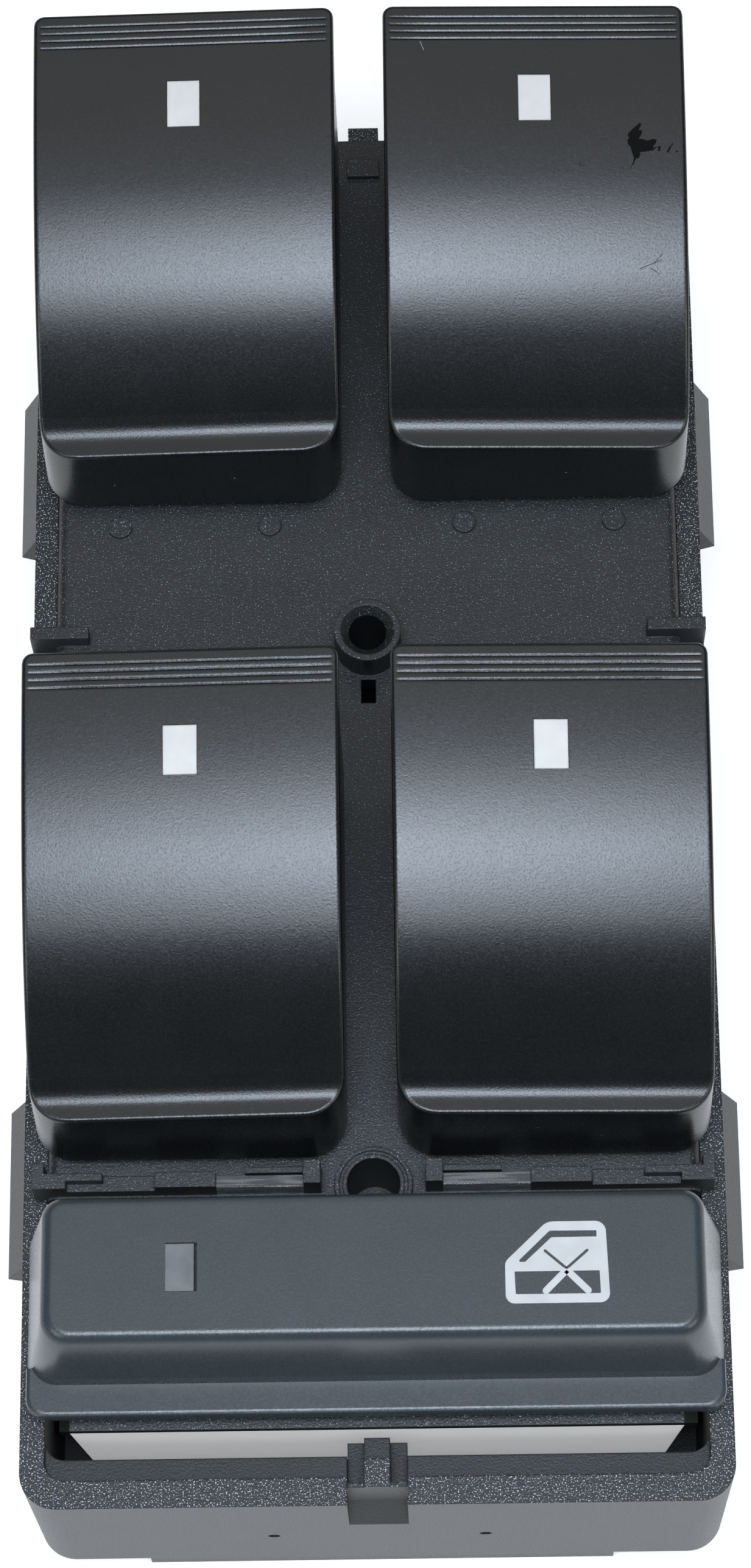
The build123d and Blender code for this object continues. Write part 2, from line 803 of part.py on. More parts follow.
def window_hole():
    """Hole for the white window in a right rocker."""
    half_x = window_width / 2 + window_play
    half_y = window_length / 2 + window_play
    return block(rocker_mid_x - half_x, rocker_mid_x + half_x, window_y - half_y, window_y + half_y,
                 rocker_mid_z(), rocker_lip_z + past)


def window():
    """White window of a right rocker: a plate that follows the roof, and its light stem."""
    roof = roof_z(window_y - pivot_y)
    head = block(rocker_mid_x - window_width / 2, rocker_mid_x + window_width / 2,
                 window_y - window_length / 2, window_y + window_length / 2, roof - rocker_roof, roof + past)
    inset = window_stem_inset
    stem = block(rocker_mid_x - window_width / 2 + inset, rocker_mid_x + window_width / 2 - inset,
                 window_y - window_length / 2 + inset, window_y + window_length / 2 - inset,
                 roof - window_stem, roof - rocker_roof)
    return (head & rocker_skin()) + stem


def rib_groove(index):
    """One cross groove near the lip of a right rocker."""
    y = rocker_rear_y - rib_first - index * rib_pitch
    roof = roof_z(y - pivot_y, rocker_inner_x)
    groove = block(rocker_inner_x + rib_margin, rocker_outer_x - rib_margin, y - rib_width / 2,
                   y + rib_width / 2, roof - rib_depth, roof + past)
    return groove.rotate(Axis((rocker_inner_x, 0, roof), (0, 1, 0)), rocker_crown_deg)


def plunger(d):
    """Plunger of a right rocker at one leg."""
    x, y = rocker_mid_x, pivot_y + d
    stem = post(x, y, plunger_low, plunger_top, plunger_r)
    head = post(x, y, plunger_top - plunger_head_t, plunger_top, plunger_head_r)
    return stem + head


def dome_pad():
    """Silicone pad with two domes under a right rocker."""
    reach = dome_r + mat_margin
    pad = block(rocker_mid_x - reach, rocker_mid_x + reach, pivot_y - leg_pull_d - reach,
                pivot_y + leg_push_d + reach, board_top, board_top + mat_t)
    for d in legs().values():
        pad += dome(rocker_mid_x, pivot_y + d)
    return pad


def dome(x, y):
    """One dome on a pad."""
    base = board_top + mat_t
    return Pos(x, y, base + dome_height / 2) * Cone(dome_r, dome_top_r, dome_height)


def lock_dome():
    """Silicone dome under the lock key."""
    y = key_stem_y
    reach = dome_r + mat_margin
    pad = block(-reach, reach, y - reach, y + reach, board_top, board_top + mat_t)
    return pad + dome(0, y)


def key_outline(z, inset):
    """Plan of the key's body at one level, drawn in at its sides and near face."""
    half = key_width / 2 - inset
    near_y = key_front_low + inset
    outline = Polyline((-half, near_y), (half, near_y), (half, key_rear_y), (-half, key_rear_y), close=True)
    sketch = fillet(make_face(outline).vertices().sort_by(Axis.Y)[0:2], key_near_corner_r)
    sketch = fillet(sketch.vertices().sort_by(Axis.Y)[-2:], key_rear_corner_r)
    return Pos(0, 0, z) * sketch


def lock_key():
    """Wide push key with a front flange, hollow below, with guide stems."""
    half = key_width / 2
    body = loft([key_outline(flange_z, 0), key_outline(key_top_z, key_draft)])
    body = fillet(body.faces().sort_by(Axis.Z)[-1].edges(), key_edge_r)
    flange = block(-half, half, flange_front, key_rear_y, flange_z, flange_top)
    corners = flange.edges().filter_by(Axis.Z).sort_by(Axis.Y)[0:2]
    flange = fillet(corners, flange_corner_r)
    body += flange
    side = half - key_draft - key_wall
    body -= block(-side, side, key_front_top + key_wall, key_rear_y - key_wall,
                  flange_z - past, key_top_z - key_wall)
    body += key_stem_at(0, plunger_low)
    for side in SIDES.values():
        body += key_stem_at(side * key_stem_x, flange_z - key_stem_below)
        body += mirrored(stem_hook(), side)
    body -= lens_block(lens_play, past)
    relief = deck_tongue_width / 2 + key_relief_side
    body -= block(-relief, relief, key_rear_y - key_relief_depth, key_rear_y + past,
                  flange_z - past, flange_z + key_relief_height)
    return body


def key_stem_at(x, low):
    """One square guide stem of the key."""
    half = key_stem / 2
    return block(x - half, x + half, key_stem_y - half, key_stem_y + half, low, key_top_z - key_wall / 2)


def stem_hook():
    """Hook on the right guide stem that holds the key below the light guide's top."""
    x = key_stem_x + key_stem / 2
    stop_z = guide_top_z - guide_wall - key_hook_gap
    profile = Polyline((x - key_hook, stop_z), (x + key_hook, stop_z), (x, stop_z - key_hook_height),
                       (x - key_hook, stop_z - key_hook_height), close=True)
    return extrude(Plane.XZ.offset(-key_stem_y - key_stem / 2) * make_face(profile), key_stem)


def lens_block(grow, up):
    """Room that the indicator lens takes up, grown by a clearance."""
    return block(lens_x - lens_width / 2 - grow, lens_x + lens_width / 2 + grow,
                 lens_y - lens_length / 2 - grow, lens_y + lens_length / 2 + grow,
                 key_top_z - lens_depth, key_top_z + up)


def lock_lens():
    """Indicator lens in the lock key."""
    return lens_block(0, -lens_sink)


def light_guide():
    """White box under the lock key, whose front wall shows in the gap before the rim."""
    half = guide_width / 2
    front = Polyline((-half, guide_top_z), (half, guide_top_z), (half - guide_taper, guide_low_z),
                     (-half + guide_taper, guide_low_z), close=True)
    body = extrude(Plane.XZ.offset(-guide_front_y) * make_face(front), guide_front_y - guide_rear_y)
    front_in = guide_front_y + guide_wall
    side_in = half - guide_taper - guide_wall
    body -= block(-side_in, side_in, front_in, guide_rear_y - guide_wall, guide_low_z - past,
                  guide_top_z - guide_wall)
    body -= block(-half, half, front_in, guide_rear_y + past, guide_low_z - past, board_top)
    return body - stem_rooms() - lamp_room()


def circuit_board():
    """Circuit board with its pin holes."""
    board = block(-board_half_x, board_half_x, board_front_y, inner_rear_y - board_side_gap,
                  board_z, board_top)
    for x, y in pin_places():
        board -= post(x, y, board_z - past, board_top + past, pin_size * math.sqrt(0.5) + pin_hole_gap)
    return board


def pin_places():
    """Where the connector's pins stand."""
    for column in range(pin_columns):
        x = (column - (pin_columns - 1) / 2) * pin_pitch
        for row in (-0.5, 0.5):
            yield x, socket_y + row * pin_row_pitch


def connector_header():
    """Insulating plate that closes the socket and holds the pins."""
    half_x = socket_width / 2 - header_gap
    half_y = socket_length / 2 - header_gap
    plate_body = block(-half_x, half_x, socket_y - half_y, socket_y + half_y, board_z - header_t, board_z)
    room = pin_size / 2 + pin_hole_gap
    for x, y in pin_places():
        plate_body -= block(x - room, x + room, y - room, y + room, board_z - header_t - past,
                            board_z + past)
    return plate_body


def terminal_pins():
    """Square pins from the board down into the socket."""
    half = pin_size / 2
    return [block(x - half, x + half, y - half, y + half, pin_end_z, board_top + pin_above)
            for x, y in pin_places()]


def leds():
    """Small lamps on the board, under each window and the lens."""
    half = led_size / 2
    lamps = []
    for _, side, shift in rocker_places():
        x, y = side * rocker_mid_x, window_y + shift
        lamps.append(block(x - half, x + half, y - half, y + half, board_top, board_top + led_height))
    lamps.append(block(lens_x - half, lens_x + half, lens_y - half, lens_y + half,
                       board_top, board_top + led_height))
    return lamps


def nodes():
    """Every node with its solids."""
    yield "base_case", base_case()
    yield "top_housing", top_housing()
    yield "light_bars", light_bars()
    yield "light_guide", light_guide()
    yield "circuit_board", circuit_board()
    yield "connector_header", connector_header()
    yield "terminal_pins", terminal_pins()
    yield "leds", leds()
    yield "lock_key", lock_key()
    yield "lock_lens", lock_lens()
    yield "lock_dome", lock_dome()
    right = {"rocker": rocker(), "window": window(), "dome_pad": dome_pad()}
    right.update({f"plunger_{kind}": plunger(d) for kind, d in legs().items()})
    for name, side, shift in rocker_places():
        for kind, shape in right.items():
            yield f"{kind}_{name}", mirrored(Pos(0, shift, 0) * shape, side)


def main():
    """Write one file for each node."""
    os.makedirs("parts", exist_ok=True)
    for name, shape in nodes():
        if isinstance(shape, list):
            shape = Compound(children=shape)
        export_step(shape, f"parts/{name}.step")


main()
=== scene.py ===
import math
import random

import bmesh
import bpy
from mathutils import Matrix, Vector


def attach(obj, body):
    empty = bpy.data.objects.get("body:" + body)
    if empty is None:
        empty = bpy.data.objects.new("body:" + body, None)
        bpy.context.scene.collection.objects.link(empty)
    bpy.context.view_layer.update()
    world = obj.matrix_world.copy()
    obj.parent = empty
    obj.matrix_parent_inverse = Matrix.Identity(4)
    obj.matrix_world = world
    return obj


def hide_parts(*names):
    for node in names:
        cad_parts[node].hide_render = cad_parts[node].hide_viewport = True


# Looks of a four-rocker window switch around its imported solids.
# Sizes below are in millimetres and match the part's own values, unless a comment says otherwise.
# Meshes are scaled to metres when they are made. X runs to the right, Y to the rear, Z up.
MM = 0.001

# Layout of the rockers
ROCKER_INNER = 2.1
ROCKER_OUTER = 27.8
ROCKER_REAR = 61.7
ROCKER_FRONT = 25.7
ROW_PITCH = 59.0
PIVOT_Y = 34.0
PIVOT_Z = 31.0
LIP_Z = 48.5
SHELF_Z = 36.0
SHELF_LENGTH = 1.2
COVE_R = 2.24
CROWN = math.tan(math.radians(1.7))
NEAR_CORNER_R = 3.3
REAR_CORNER_R = 0.9
EDGE_R = 0.35
SIDE_WALL = 1.5
ROOF_WALL = 1.6
FACE_LEAN = 1.3
SKIRT_FRONT_Z = 28.3
SKIRT_BACK_Z = 29.73
BACK_Y = 56.8
BACK_FOOT_Y = 57.4
BACK_WALL = 1.2
LIP_FOOT_Y = 61.5
LIP_FOOT_Z = 46.8
COVE_FOOT_Z = 42.9

# Course of a rocker's top: share of the run, share of the drop, slope in degrees
ROOF_ALONG = (0.0, 0.255, 0.451, 0.661, 0.842, 1.0)
ROOF_DOWN = (0.0, 0.082, 0.193, 0.387, 0.656, 1.0)
ROOF_SLOPES = (4, 9, 14, 22, 34, 43)

# How finely a rocker's top is divided: degrees in the near corners, of which the small rear corners take
# every third step, and millimetres along the slope
CORNER_TURN = 7.5
REAR_CORNER_EVERY = 3
ROOF_STEP = 0.5
ROOF_EVEN_TO = 57.0
LIP_STEPS = 8
LEAST_STEP = 0.02
COVE_STEPS = 8
RIB_STEPS = 8
EDGE_STEPS = 4
HOLLOW_STEPS = 18

# Finger ribs near the lip, which only this script has
RIB_COUNT = 4
RIB_FIRST = 1.15
RIB_PITCH = 0.66
RIB_WIDTH = 0.29
RIB_DEPTH = 0.055
RIB_MARGIN = 0.6

# White windows
WINDOW_W = 2.75
WINDOW_L = 4.0
WINDOW_PLAY = 0.05
WINDOW_Y = 53.25
WINDOW_REAR = WINDOW_Y + WINDOW_L / 2 + WINDOW_PLAY
WINDOW_NEAR = WINDOW_Y - WINDOW_L / 2 - WINDOW_PLAY

# Legs and pivots under a rocker
LEG_WIDTH = 3.0
LEG_T = 2.4
LEG_TIP_Z = 24.5
LEG_PUSH = 7.5
LEG_PULL = 6.0
BOSS_R = 2.4
BORE_R = 1.25
BOSS_REACH = 3.3
STUB_WALL = 0.8
ROUND_STEPS = 28
TIP_STEPS = 10

# Lock key. Its sides and near face lean up to half a millimetre more than the solid's, and its edge is
# sharper, as the reflections ask.
KEY_HALF = 28.3
KEY_DRAFT = 1.9
KEY_NEAR_DRAFT = 1.7
KEY_NEAR_CURVE = 1.7
KEY_TOP_Z = 36.3
KEY_REAR = -39.8
KEY_FRONT_LOW = -53.4
KEY_FRONT_FLANGE = -55.9
KEY_NEAR_R = 2.3
KEY_REAR_R = 1.7
KEY_EDGE_R = 0.8
FLANGE_Z = 26.5
FLANGE_TOP = 28.1
FLANGE_R = 1.5
KEY_WALL = 1.5
KEY_STEM = 4.0
KEY_STEM_Y = -47.6
KEY_STEM_X = 18.0
KEY_STEM_BELOW = 20.5
KEY_STEM_LOW = 18.5
KEY_HOOK = 0.6
KEY_HOOK_TOP = 22.5
KEY_HOOK_LOW = 20.9
KEY_SIDE_LEVELS = (31.0, 32.5, 34.0)
KEY_EDGE_STEPS = 6
ARC_STEPS = 8
RELIEF_HALF = 4.6
RELIEF_DEPTH = 0.7
RELIEF_TOP = 29.5
LENS_X = -15.28
LENS_Y = -45.75
LENS_W = 2.45
LENS_L = 3.9
LENS_PLAY = 0.05
LENS_DEPTH = 6.0

# A narrow even band inside a soft edge, which keeps the shading of the flat face beside it even
FLAT_MARGIN = 0.12

# Sections through the flange from its foot up: height, and how far its outline is drawn in
FLANGE_SECTIONS = ((FLANGE_Z, 0.12), (FLANGE_Z + 0.12, 0.0), (FLANGE_TOP - 0.3, 0.0),
                   (FLANGE_TOP - 0.1, 0.08), (FLANGE_TOP, 0.3), (FLANGE_TOP, 0.3 + FLAT_MARGIN))

ROWS = {"rear": 0.0, "front": -ROW_PITCH}
SIDES = {"left": -1, "right": 1}

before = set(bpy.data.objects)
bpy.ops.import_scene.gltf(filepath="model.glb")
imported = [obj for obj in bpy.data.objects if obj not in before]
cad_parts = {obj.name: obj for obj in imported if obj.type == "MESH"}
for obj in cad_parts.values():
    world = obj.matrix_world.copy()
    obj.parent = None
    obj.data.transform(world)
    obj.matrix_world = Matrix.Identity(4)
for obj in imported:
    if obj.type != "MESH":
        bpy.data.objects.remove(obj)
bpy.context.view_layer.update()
random.seed(7)


def rectangle(x0, x1, y0, y1):
    """Corners of a rectangle, in order round it."""
    return (x0, y0), (x1, y0), (x1, y1), (x0, y1)


class Shape:
    """Vertices and faces in millimetres, gathered before they become one mesh."""

    def __init__(self):
        self.points = []
        self.faces = []

    def add(self, x, y, z):
        """A new vertex, as its number."""
        self.points.append((x, y, z))
        return len(self.points) - 1

    def face(self, *corners):
        """A face over vertices given by number, without those that repeat."""
        ordered = [c for i, c in enumerate(corners) if c != corners[i - 1]]
        if len(ordered) > 2:
            self.faces.append(ordered)

    def strip(self, first, second):
        """Quads between two rows of equal length."""
        for i in range(len(first) - 1):
            self.face(first[i], first[i + 1], second[i + 1], second[i])

    def ring(self, first, second):
        """Quads between two closed loops of equal length."""
        self.strip(first + first[:1], second + second[:1])

    def stem(self, x, y, half, z0, z1):
        """A closed square stem round a place, between two heights."""
        corners = rectangle(x - half, x + half, y - half, y + half)
        low = [self.add(a, b, z0) for a, b in corners]
        high = [self.add(a, b, z1) for a, b in corners]
        self.ring(low, high)
        self.face(*reversed(low))
        self.face(*high)

    def placed(self, side, shift):
        """The same shape on the left or the right, moved along Y."""
        moved = Shape()
        moved.points = [(side * x, y + shift, z) for x, y, z in self.points]
        moved.faces = [list(reversed(f)) if side < 0 else f for f in self.faces]
        return moved


def make_object(name, shape, material, body, sharp_deg=32):
    """A smooth-shaded object from a shape, riding on a body."""
    mesh = bpy.data.meshes.new(name)
    mesh.from_pydata([Vector(p) * MM for p in shape.points], [], shape.faces)
    bm = bmesh.new()
    bm.from_mesh(mesh)
    bmesh.ops.recalc_face_normals(bm, faces=bm.faces)
    bm.to_mesh(mesh)
    bm.free()
    mesh.shade_smooth()
    mesh.set_sharp_from_angle(angle=math.radians(sharp_deg))
    mesh.materials.append(material)
    obj = bpy.data.objects.new(name, mesh)
    bpy.context.scene.collection.objects.link(obj)
    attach(obj, body)
    return obj


# Materials
# Size and soft edge of the painted glints: bright flecks that stand in for the grain catching the light
GLINTS_PER_MM = 8.0
GLINT_EDGE = 0.07


class Nodes:
    """Short calls for building one node material."""

    def __init__(self, name):
        self.material = bpy.data.materials.new(name)
        self.material.use_nodes = True
        self.tree = self.material.node_tree
        self.shader = self.tree.nodes["Principled BSDF"]
        coords = self.tree.nodes.new("ShaderNodeTexCoord")
        self.where = coords.outputs["Object"]

    def node(self, kind, **values):
        """A new node with some of its settings."""
        made = self.tree.nodes.new(kind)
        for key, value in values.items():
            setattr(made, key, value)
        return made

    def link(self, source, target):
        """Joins two sockets."""
        self.tree.links.new(source, target)

    def noise(self, per_mm, detail=2.0, roughness=0.5, stretch=(1, 1, 1)):
        """Noise with a number of cells per millimetre."""
        mapping = self.node("ShaderNodeMapping")
        mapping.inputs["Scale"].default_value = [s / MM for s in stretch]
        self.link(self.where, mapping.inputs["Vector"])
        made = self.node("ShaderNodeTexNoise")
        made.inputs["Scale"].default_value = per_mm
        made.inputs["Detail"].default_value = detail
        made.inputs["Roughness"].default_value = roughness
        self.link(mapping.outputs["Vector"], made.inputs["Vector"])
        return made.outputs["Fac"]

    def facing_up(self):
        """One on faces that look up, falling to nothing on upright ones."""
        split = self.node("ShaderNodeSeparateXYZ")
        self.link(self.node("ShaderNodeNewGeometry").outputs["Normal"], split.inputs[0])
        return self.spread(split.outputs["Z"], 0.3, 0.8, 0, 1)

    def above(self, from_mm):
        """One above a height, nothing below it."""
        split = self.node("ShaderNodeSeparateXYZ")
        self.link(self.where, split.inputs[0])
        return self.spread(split.outputs["Z"], from_mm * MM, (from_mm + 0.2) * MM, 0, 1)

    def spread(self, value, low, high, at_low, at_high):
        """A value moved from one range to another and held inside it."""
        made = self.node("ShaderNodeMapRange")
        for key, number in (("From Min", low), ("From Max", high), ("To Min", at_low), ("To Max", at_high)):
            made.inputs[key].default_value = number
        self.link(value, made.inputs["Value"])
        return made.outputs["Result"]

    def mix(self, share, first, second):
        """A colour between two colours."""
        made = self.node("ShaderNodeMix", data_type="RGBA")
        for key, value in (("A", first), ("B", second)):
            socket = [s for s in made.inputs if s.name == key and s.type == "RGBA"][0]
            if isinstance(value, tuple):
                socket.default_value = (*value, 1.0)
            else:
                self.link(value, socket)
        self.link(share, made.inputs["Factor"])
        return [s for s in made.outputs if s.type == "RGBA"][0]

    def combine(self, operation, first, second):
        """Two values joined by a sum, product or the like."""
        made = self.node("ShaderNodeMath", operation=operation)
        for socket, value in zip(made.inputs, (first, second)):
            if isinstance(value, (int, float)):
                socket.default_value = value
            else:
                self.link(value, socket)
        return made.outputs["Value"]

    def bump(self, heights, edge_mm=0.0):
        """Bumps from (height, depth in mm) pairs, over edges rounded by the shader."""
        normal = None
        if edge_mm:
            soft = self.node("ShaderNodeBevel", samples=4)
            soft.inputs["Radius"].default_value = edge_mm * MM
            normal = soft.outputs["Normal"]
        for height, depth_mm in heights:
            made = self.node("ShaderNodeBump")
            made.inputs["Strength"].default_value = 1.0
            made.inputs["Distance"].default_value = depth_mm * MM
            self.link(height, made.inputs["Height"])
            if normal is not None:
                self.link(normal, made.inputs["Normal"])
            normal = made.outputs["Normal"]
        self.link(normal, self.shader.inputs["Normal"])


def moulded(name, dark, light, rough, grain_per_mm, grain_mm, edge_mm, fine_mm=0.0, painted_glints=None,
            specular=0.5):
    """Black plastic with a spark-eroded grain, slow changes of tone and gloss, and painted glints.

    The painted glints are bright flecks painted only on faces that look up, above a height, where the grain
    catches the light;
    they are given as (how rare, their colour, the height above which they show).
    """
    m = Nodes(name)
    slow = m.noise(0.22, detail=3)
    fine = m.noise(grain_per_mm, detail=2, roughness=0.6)
    tone = m.combine("ADD", m.combine("MULTIPLY", slow, 0.5), m.combine("MULTIPLY", fine, 0.5))
    colour = m.mix(m.spread(tone, 0.35, 0.65, 0, 1), dark, light)
    # Painted glints: bright flecks in the base colour, only on faces that look up and above a height
    if painted_glints:
        level, glint_colour, from_z = painted_glints
        glint_spots = m.spread(m.noise(GLINTS_PER_MM, detail=1), level, level + GLINT_EDGE, 0, 1)
        place = m.combine("MULTIPLY", m.facing_up(), m.above(from_z))
        colour = m.mix(m.combine("MULTIPLY", glint_spots, place), colour, glint_colour)
    m.link(colour, m.shader.inputs["Base Color"])
    m.shader.inputs["Specular IOR Level"].default_value = specular
    m.link(m.spread(fine, 0.3, 0.7, rough - 0.04, rough + 0.05), m.shader.inputs["Roughness"])
    heights = [(fine, grain_mm)]
    if fine_mm:
        heights.append((m.noise(grain_per_mm * 2.7, detail=1), fine_mm))
    m.bump(heights, edge_mm)
    return m.material


def milky(name, dark, light, rough, edge_mm, depth, glow=0.0):
    """Pale plastic that light enters a little, or dust; a glow is painted light that brightens a part lying
    in shade.
    """
    m = Nodes(name)
    slow = m.noise(0.5, detail=3)
    m.link(m.mix(m.spread(slow, 0.35, 0.65, 0, 1), dark, light), m.shader.inputs["Base Color"])
    m.link(m.spread(m.noise(4.0), 0.3, 0.7, rough, rough + 0.08), m.shader.inputs["Roughness"])
    m.shader.inputs["Subsurface Weight"].default_value = depth
    m.shader.inputs["Subsurface Radius"].default_value = (0.8 * MM, 0.8 * MM, 0.8 * MM)
    m.shader.inputs["Subsurface Scale"].default_value = 1.0
    m.shader.inputs["Emission Color"].default_value = (1, 1, 1, 1)
    m.shader.inputs["Emission Strength"].default_value = glow
    m.bump([(m.noise(3.0), 0.004)], edge_mm)
    return m.material


def clear_bar(name):
    """Clear plastic of the light bars, with streaks along them."""
    m = Nodes(name)
    streaks = m.noise(4.0, detail=1, stretch=(0.08, 1, 1))
    m.link(m.mix(m.spread(streaks, 0.42, 0.6, 0, 1), (0.3, 0.32, 0.33), (0.85, 0.87, 0.88)),
           m.shader.inputs["Base Color"])
    m.shader.inputs["Transmission Weight"].default_value = 0.8
    m.shader.inputs["IOR"].default_value = 1.49
    m.link(m.spread(m.noise(2.0), 0.3, 0.7, 0.04, 0.1), m.shader.inputs["Roughness"])
    m.bump([(streaks, 0.02)], 0.15)
    return m.material


def tinned(name):
    """Tinned metal of the pins."""
    m = Nodes(name)
    m.link(m.mix(m.spread(m.noise(3.0, stretch=(1, 1, 0.2)), 0.3, 0.7, 0, 1), (0.6, 0.59, 0.56),
                 (0.78, 0.77, 0.74)), m.shader.inputs["Base Color"])
    m.shader.inputs["Metallic"].default_value = 1.0
    m.link(m.spread(m.noise(5.0), 0.3, 0.7, 0.22, 0.36), m.shader.inputs["Roughness"])
    m.bump([(m.noise(8.0), 0.002)], 0.05)
    return m.material


def board_green(name):
    """Dark solder mask over the weave of the circuit board, with faint tracks."""
    m = Nodes(name)
    tracks = m.spread(m.noise(0.35, detail=1, stretch=(1, 0.3, 1)), 0.48, 0.52, 0, 1)
    m.link(m.mix(tracks, (0.016, 0.026, 0.014), (0.024, 0.038, 0.018)), m.shader.inputs["Base Color"])
    m.link(m.spread(m.noise(3.0), 0.3, 0.7, 0.28, 0.4), m.shader.inputs["Roughness"])
    m.bump([(tracks, 0.03), (m.noise(2.5), 0.004)])
    return m.material


ROCKER_BLACK = moulded("rocker_black", (0.0058, 0.0067, 0.0075), (0.009, 0.0102, 0.0113), rough=0.25,
                       grain_per_mm=6.0, grain_mm=0.012, edge_mm=0.0, fine_mm=0.005)
KEY_BLACK = moulded("key_black", (0.033, 0.0425, 0.049), (0.042, 0.053, 0.06), rough=0.26,
                    grain_per_mm=6.0, grain_mm=0.009, edge_mm=0.0, fine_mm=0.004)
# The deck and the case carry painted glints: bright flecks where their grain catches the light from above
DECK_BLACK = moulded("deck_black", (0.009, 0.0108, 0.0117), (0.015, 0.0178, 0.0193), rough=0.42,
                     grain_per_mm=5.0, grain_mm=0.04, edge_mm=0.18, fine_mm=0.012,
                     painted_glints=(0.66, (0.32, 0.36, 0.39), 20.0))
CASE_BLACK = moulded("case_black", (0.0085, 0.0097, 0.0103), (0.0135, 0.0155, 0.0165), rough=0.42,
                     grain_per_mm=5.0, grain_mm=0.04, edge_mm=0.2, fine_mm=0.012,
                     painted_glints=(0.61, (0.6, 0.67, 0.71), 24.6), specular=0.4)
HEADER_BLACK = moulded("header_black", (0.009, 0.009, 0.009), (0.013, 0.013, 0.013), rough=0.5,
                       grain_per_mm=4.0, grain_mm=0.015, edge_mm=0.1)
INK_BLACK = moulded("ink_black", (0.0012, 0.0012, 0.001), (0.003, 0.003, 0.0024), rough=0.6,
                    grain_per_mm=6.0, grain_mm=0.02, edge_mm=0.0, specular=0.08)
WINDOW_WHITE = milky("window_white", (0.63, 0.62, 0.6), (0.68, 0.67, 0.65), rough=0.32, edge_mm=0.2,
                     depth=0.15)
# The guide's glow is painted light: it brightens the guide's near face, which lies in shade in the moat
GUIDE_WHITE = milky("guide_white", (0.86, 0.86, 0.85), (0.92, 0.92, 0.91), rough=0.4, edge_mm=0.25, depth=0.1,
                    glow=0.29)
PLUNGER_WHITE = milky("plunger_white", (0.6, 0.6, 0.57), (0.68, 0.68, 0.65), rough=0.4, edge_mm=0.2,
                      depth=0.1)
SILICONE = milky("silicone_grey", (0.32, 0.33, 0.34), (0.4, 0.41, 0.42), rough=0.55, edge_mm=0.3, depth=0.3)
LENS_GREY = milky("lens_grey", (0.115, 0.125, 0.13), (0.17, 0.18, 0.185), rough=0.34, edge_mm=0.15, depth=0.1)
LAMP_YELLOW = milky("lamp_yellow", (0.75, 0.62, 0.2), (0.85, 0.75, 0.35), rough=0.3, edge_mm=0.1, depth=0.1)
SIGN_WHITE = milky("sign_white", (0.56, 0.57, 0.57), (0.62, 0.63, 0.63), rough=0.45, edge_mm=0.0, depth=0.0)
DUST = milky("dust", (0.16, 0.17, 0.18), (0.32, 0.34, 0.36), rough=0.7, edge_mm=0.0, depth=0.0)
CLEAR_BAR = clear_bar("clear_bar")
TINNED = tinned("tinned_metal")
BOARD_GREEN = board_green("board_green")

NODE_MATERIALS = {
    "base_case": CASE_BLACK, "top_housing": DECK_BLACK, "light_bars": CLEAR_BAR, "light_guide": GUIDE_WHITE,
    "circuit_board": BOARD_GREEN, "connector_header": HEADER_BLACK, "terminal_pins": TINNED,
    "leds": LAMP_YELLOW, "lock_dome": SILICONE, "lock_lens": LENS_GREY}
KIND_MATERIALS = {"window": WINDOW_WHITE, "dome_pad": SILICONE, "plunger": PLUNGER_WHITE,
                  "rocker": ROCKER_BLACK, "lock_key": KEY_BLACK}


def paint_nodes():
    """Gives every solid of the frame its material."""
    for name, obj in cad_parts.items():
        material = NODE_MATERIALS.get(name)
        if material is None:
            kind = [k for k in KIND_MATERIALS if name.startswith(k)][0]
            material = KIND_MATERIALS[kind]
        obj.data.materials.clear()
        obj.data.materials.append(material)


# Rockers


def roof_knots():
    """The points and slopes that the rocker's top runs through, from the lip to the cove."""
    steep = math.radians(ROOF_SLOPES[-1])
    run = ROCKER_REAR - ROCKER_FRONT - SHELF_LENGTH - COVE_R * math.sin(steep)
    drop = LIP_Z - SHELF_Z - COVE_R * (1 - math.cos(steep))
    return [(ROCKER_REAR - run * along, LIP_Z - drop * down, math.tan(math.radians(slope)))
            for along, down, slope in zip(ROOF_ALONG, ROOF_DOWN, ROOF_SLOPES)]


KNOTS = roof_knots()


def roof(y):
    """Height of a rocker's top along its inner side."""
    shelf_y = ROCKER_FRONT + SHELF_LENGTH
    if y <= shelf_y:
        return SHELF_Z
    if y < KNOTS[-1][0]:
        return SHELF_Z + COVE_R - math.sqrt(COVE_R ** 2 - (y - shelf_y) ** 2)
    for (y1, z1, s1), (y0, z0, s0) in zip(KNOTS, KNOTS[1:]):
        if y >= y0:
            break
    width = y1 - y0
    t = (y - y0) / width
    return (z0 * (1 + 2 * t) * (1 - t) ** 2 + z1 * t * t * (3 - 2 * t)
            + width * (s0 * t * (1 - t) ** 2 - s1 * t * t * (1 - t)))


def rib_middle(index):
    """Place of a finger rib's groove along the rocker."""
    return ROCKER_REAR - RIB_FIRST - index * RIB_PITCH


def rib_dip(y):
    """Depth of the finger ribs' grooves at a place along the rocker."""
    for index in range(RIB_COUNT):
        off = abs(y - rib_middle(index))
        if off < RIB_WIDTH / 2:
            return RIB_DEPTH * (1 - 2 * off / RIB_WIDTH)
    return 0.0


def rocker_top(x, y):
    """Height of a right rocker's top, without its ribs."""
    return roof(y) - CROWN * (x - ROCKER_INNER)


def underside(y):
    """Height of the lip's underside, which curves down into the back wall."""
    t = min(max((y - BACK_Y) / (LIP_FOOT_Y - BACK_Y), 0.0), 1.0)
    return COVE_FOOT_Z + (LIP_FOOT_Z - COVE_FOOT_Z) * (1 - (1 - t) ** 2) ** 0.6


def skirt(y):
    """Height of a rocker's lower edge."""
    t = min(max((y - ROCKER_FRONT) / (BACK_Y - ROCKER_FRONT), 0.0), 1.0)
    return SKIRT_FRONT_Z + (SKIRT_BACK_Z - SKIRT_FRONT_Z) * t


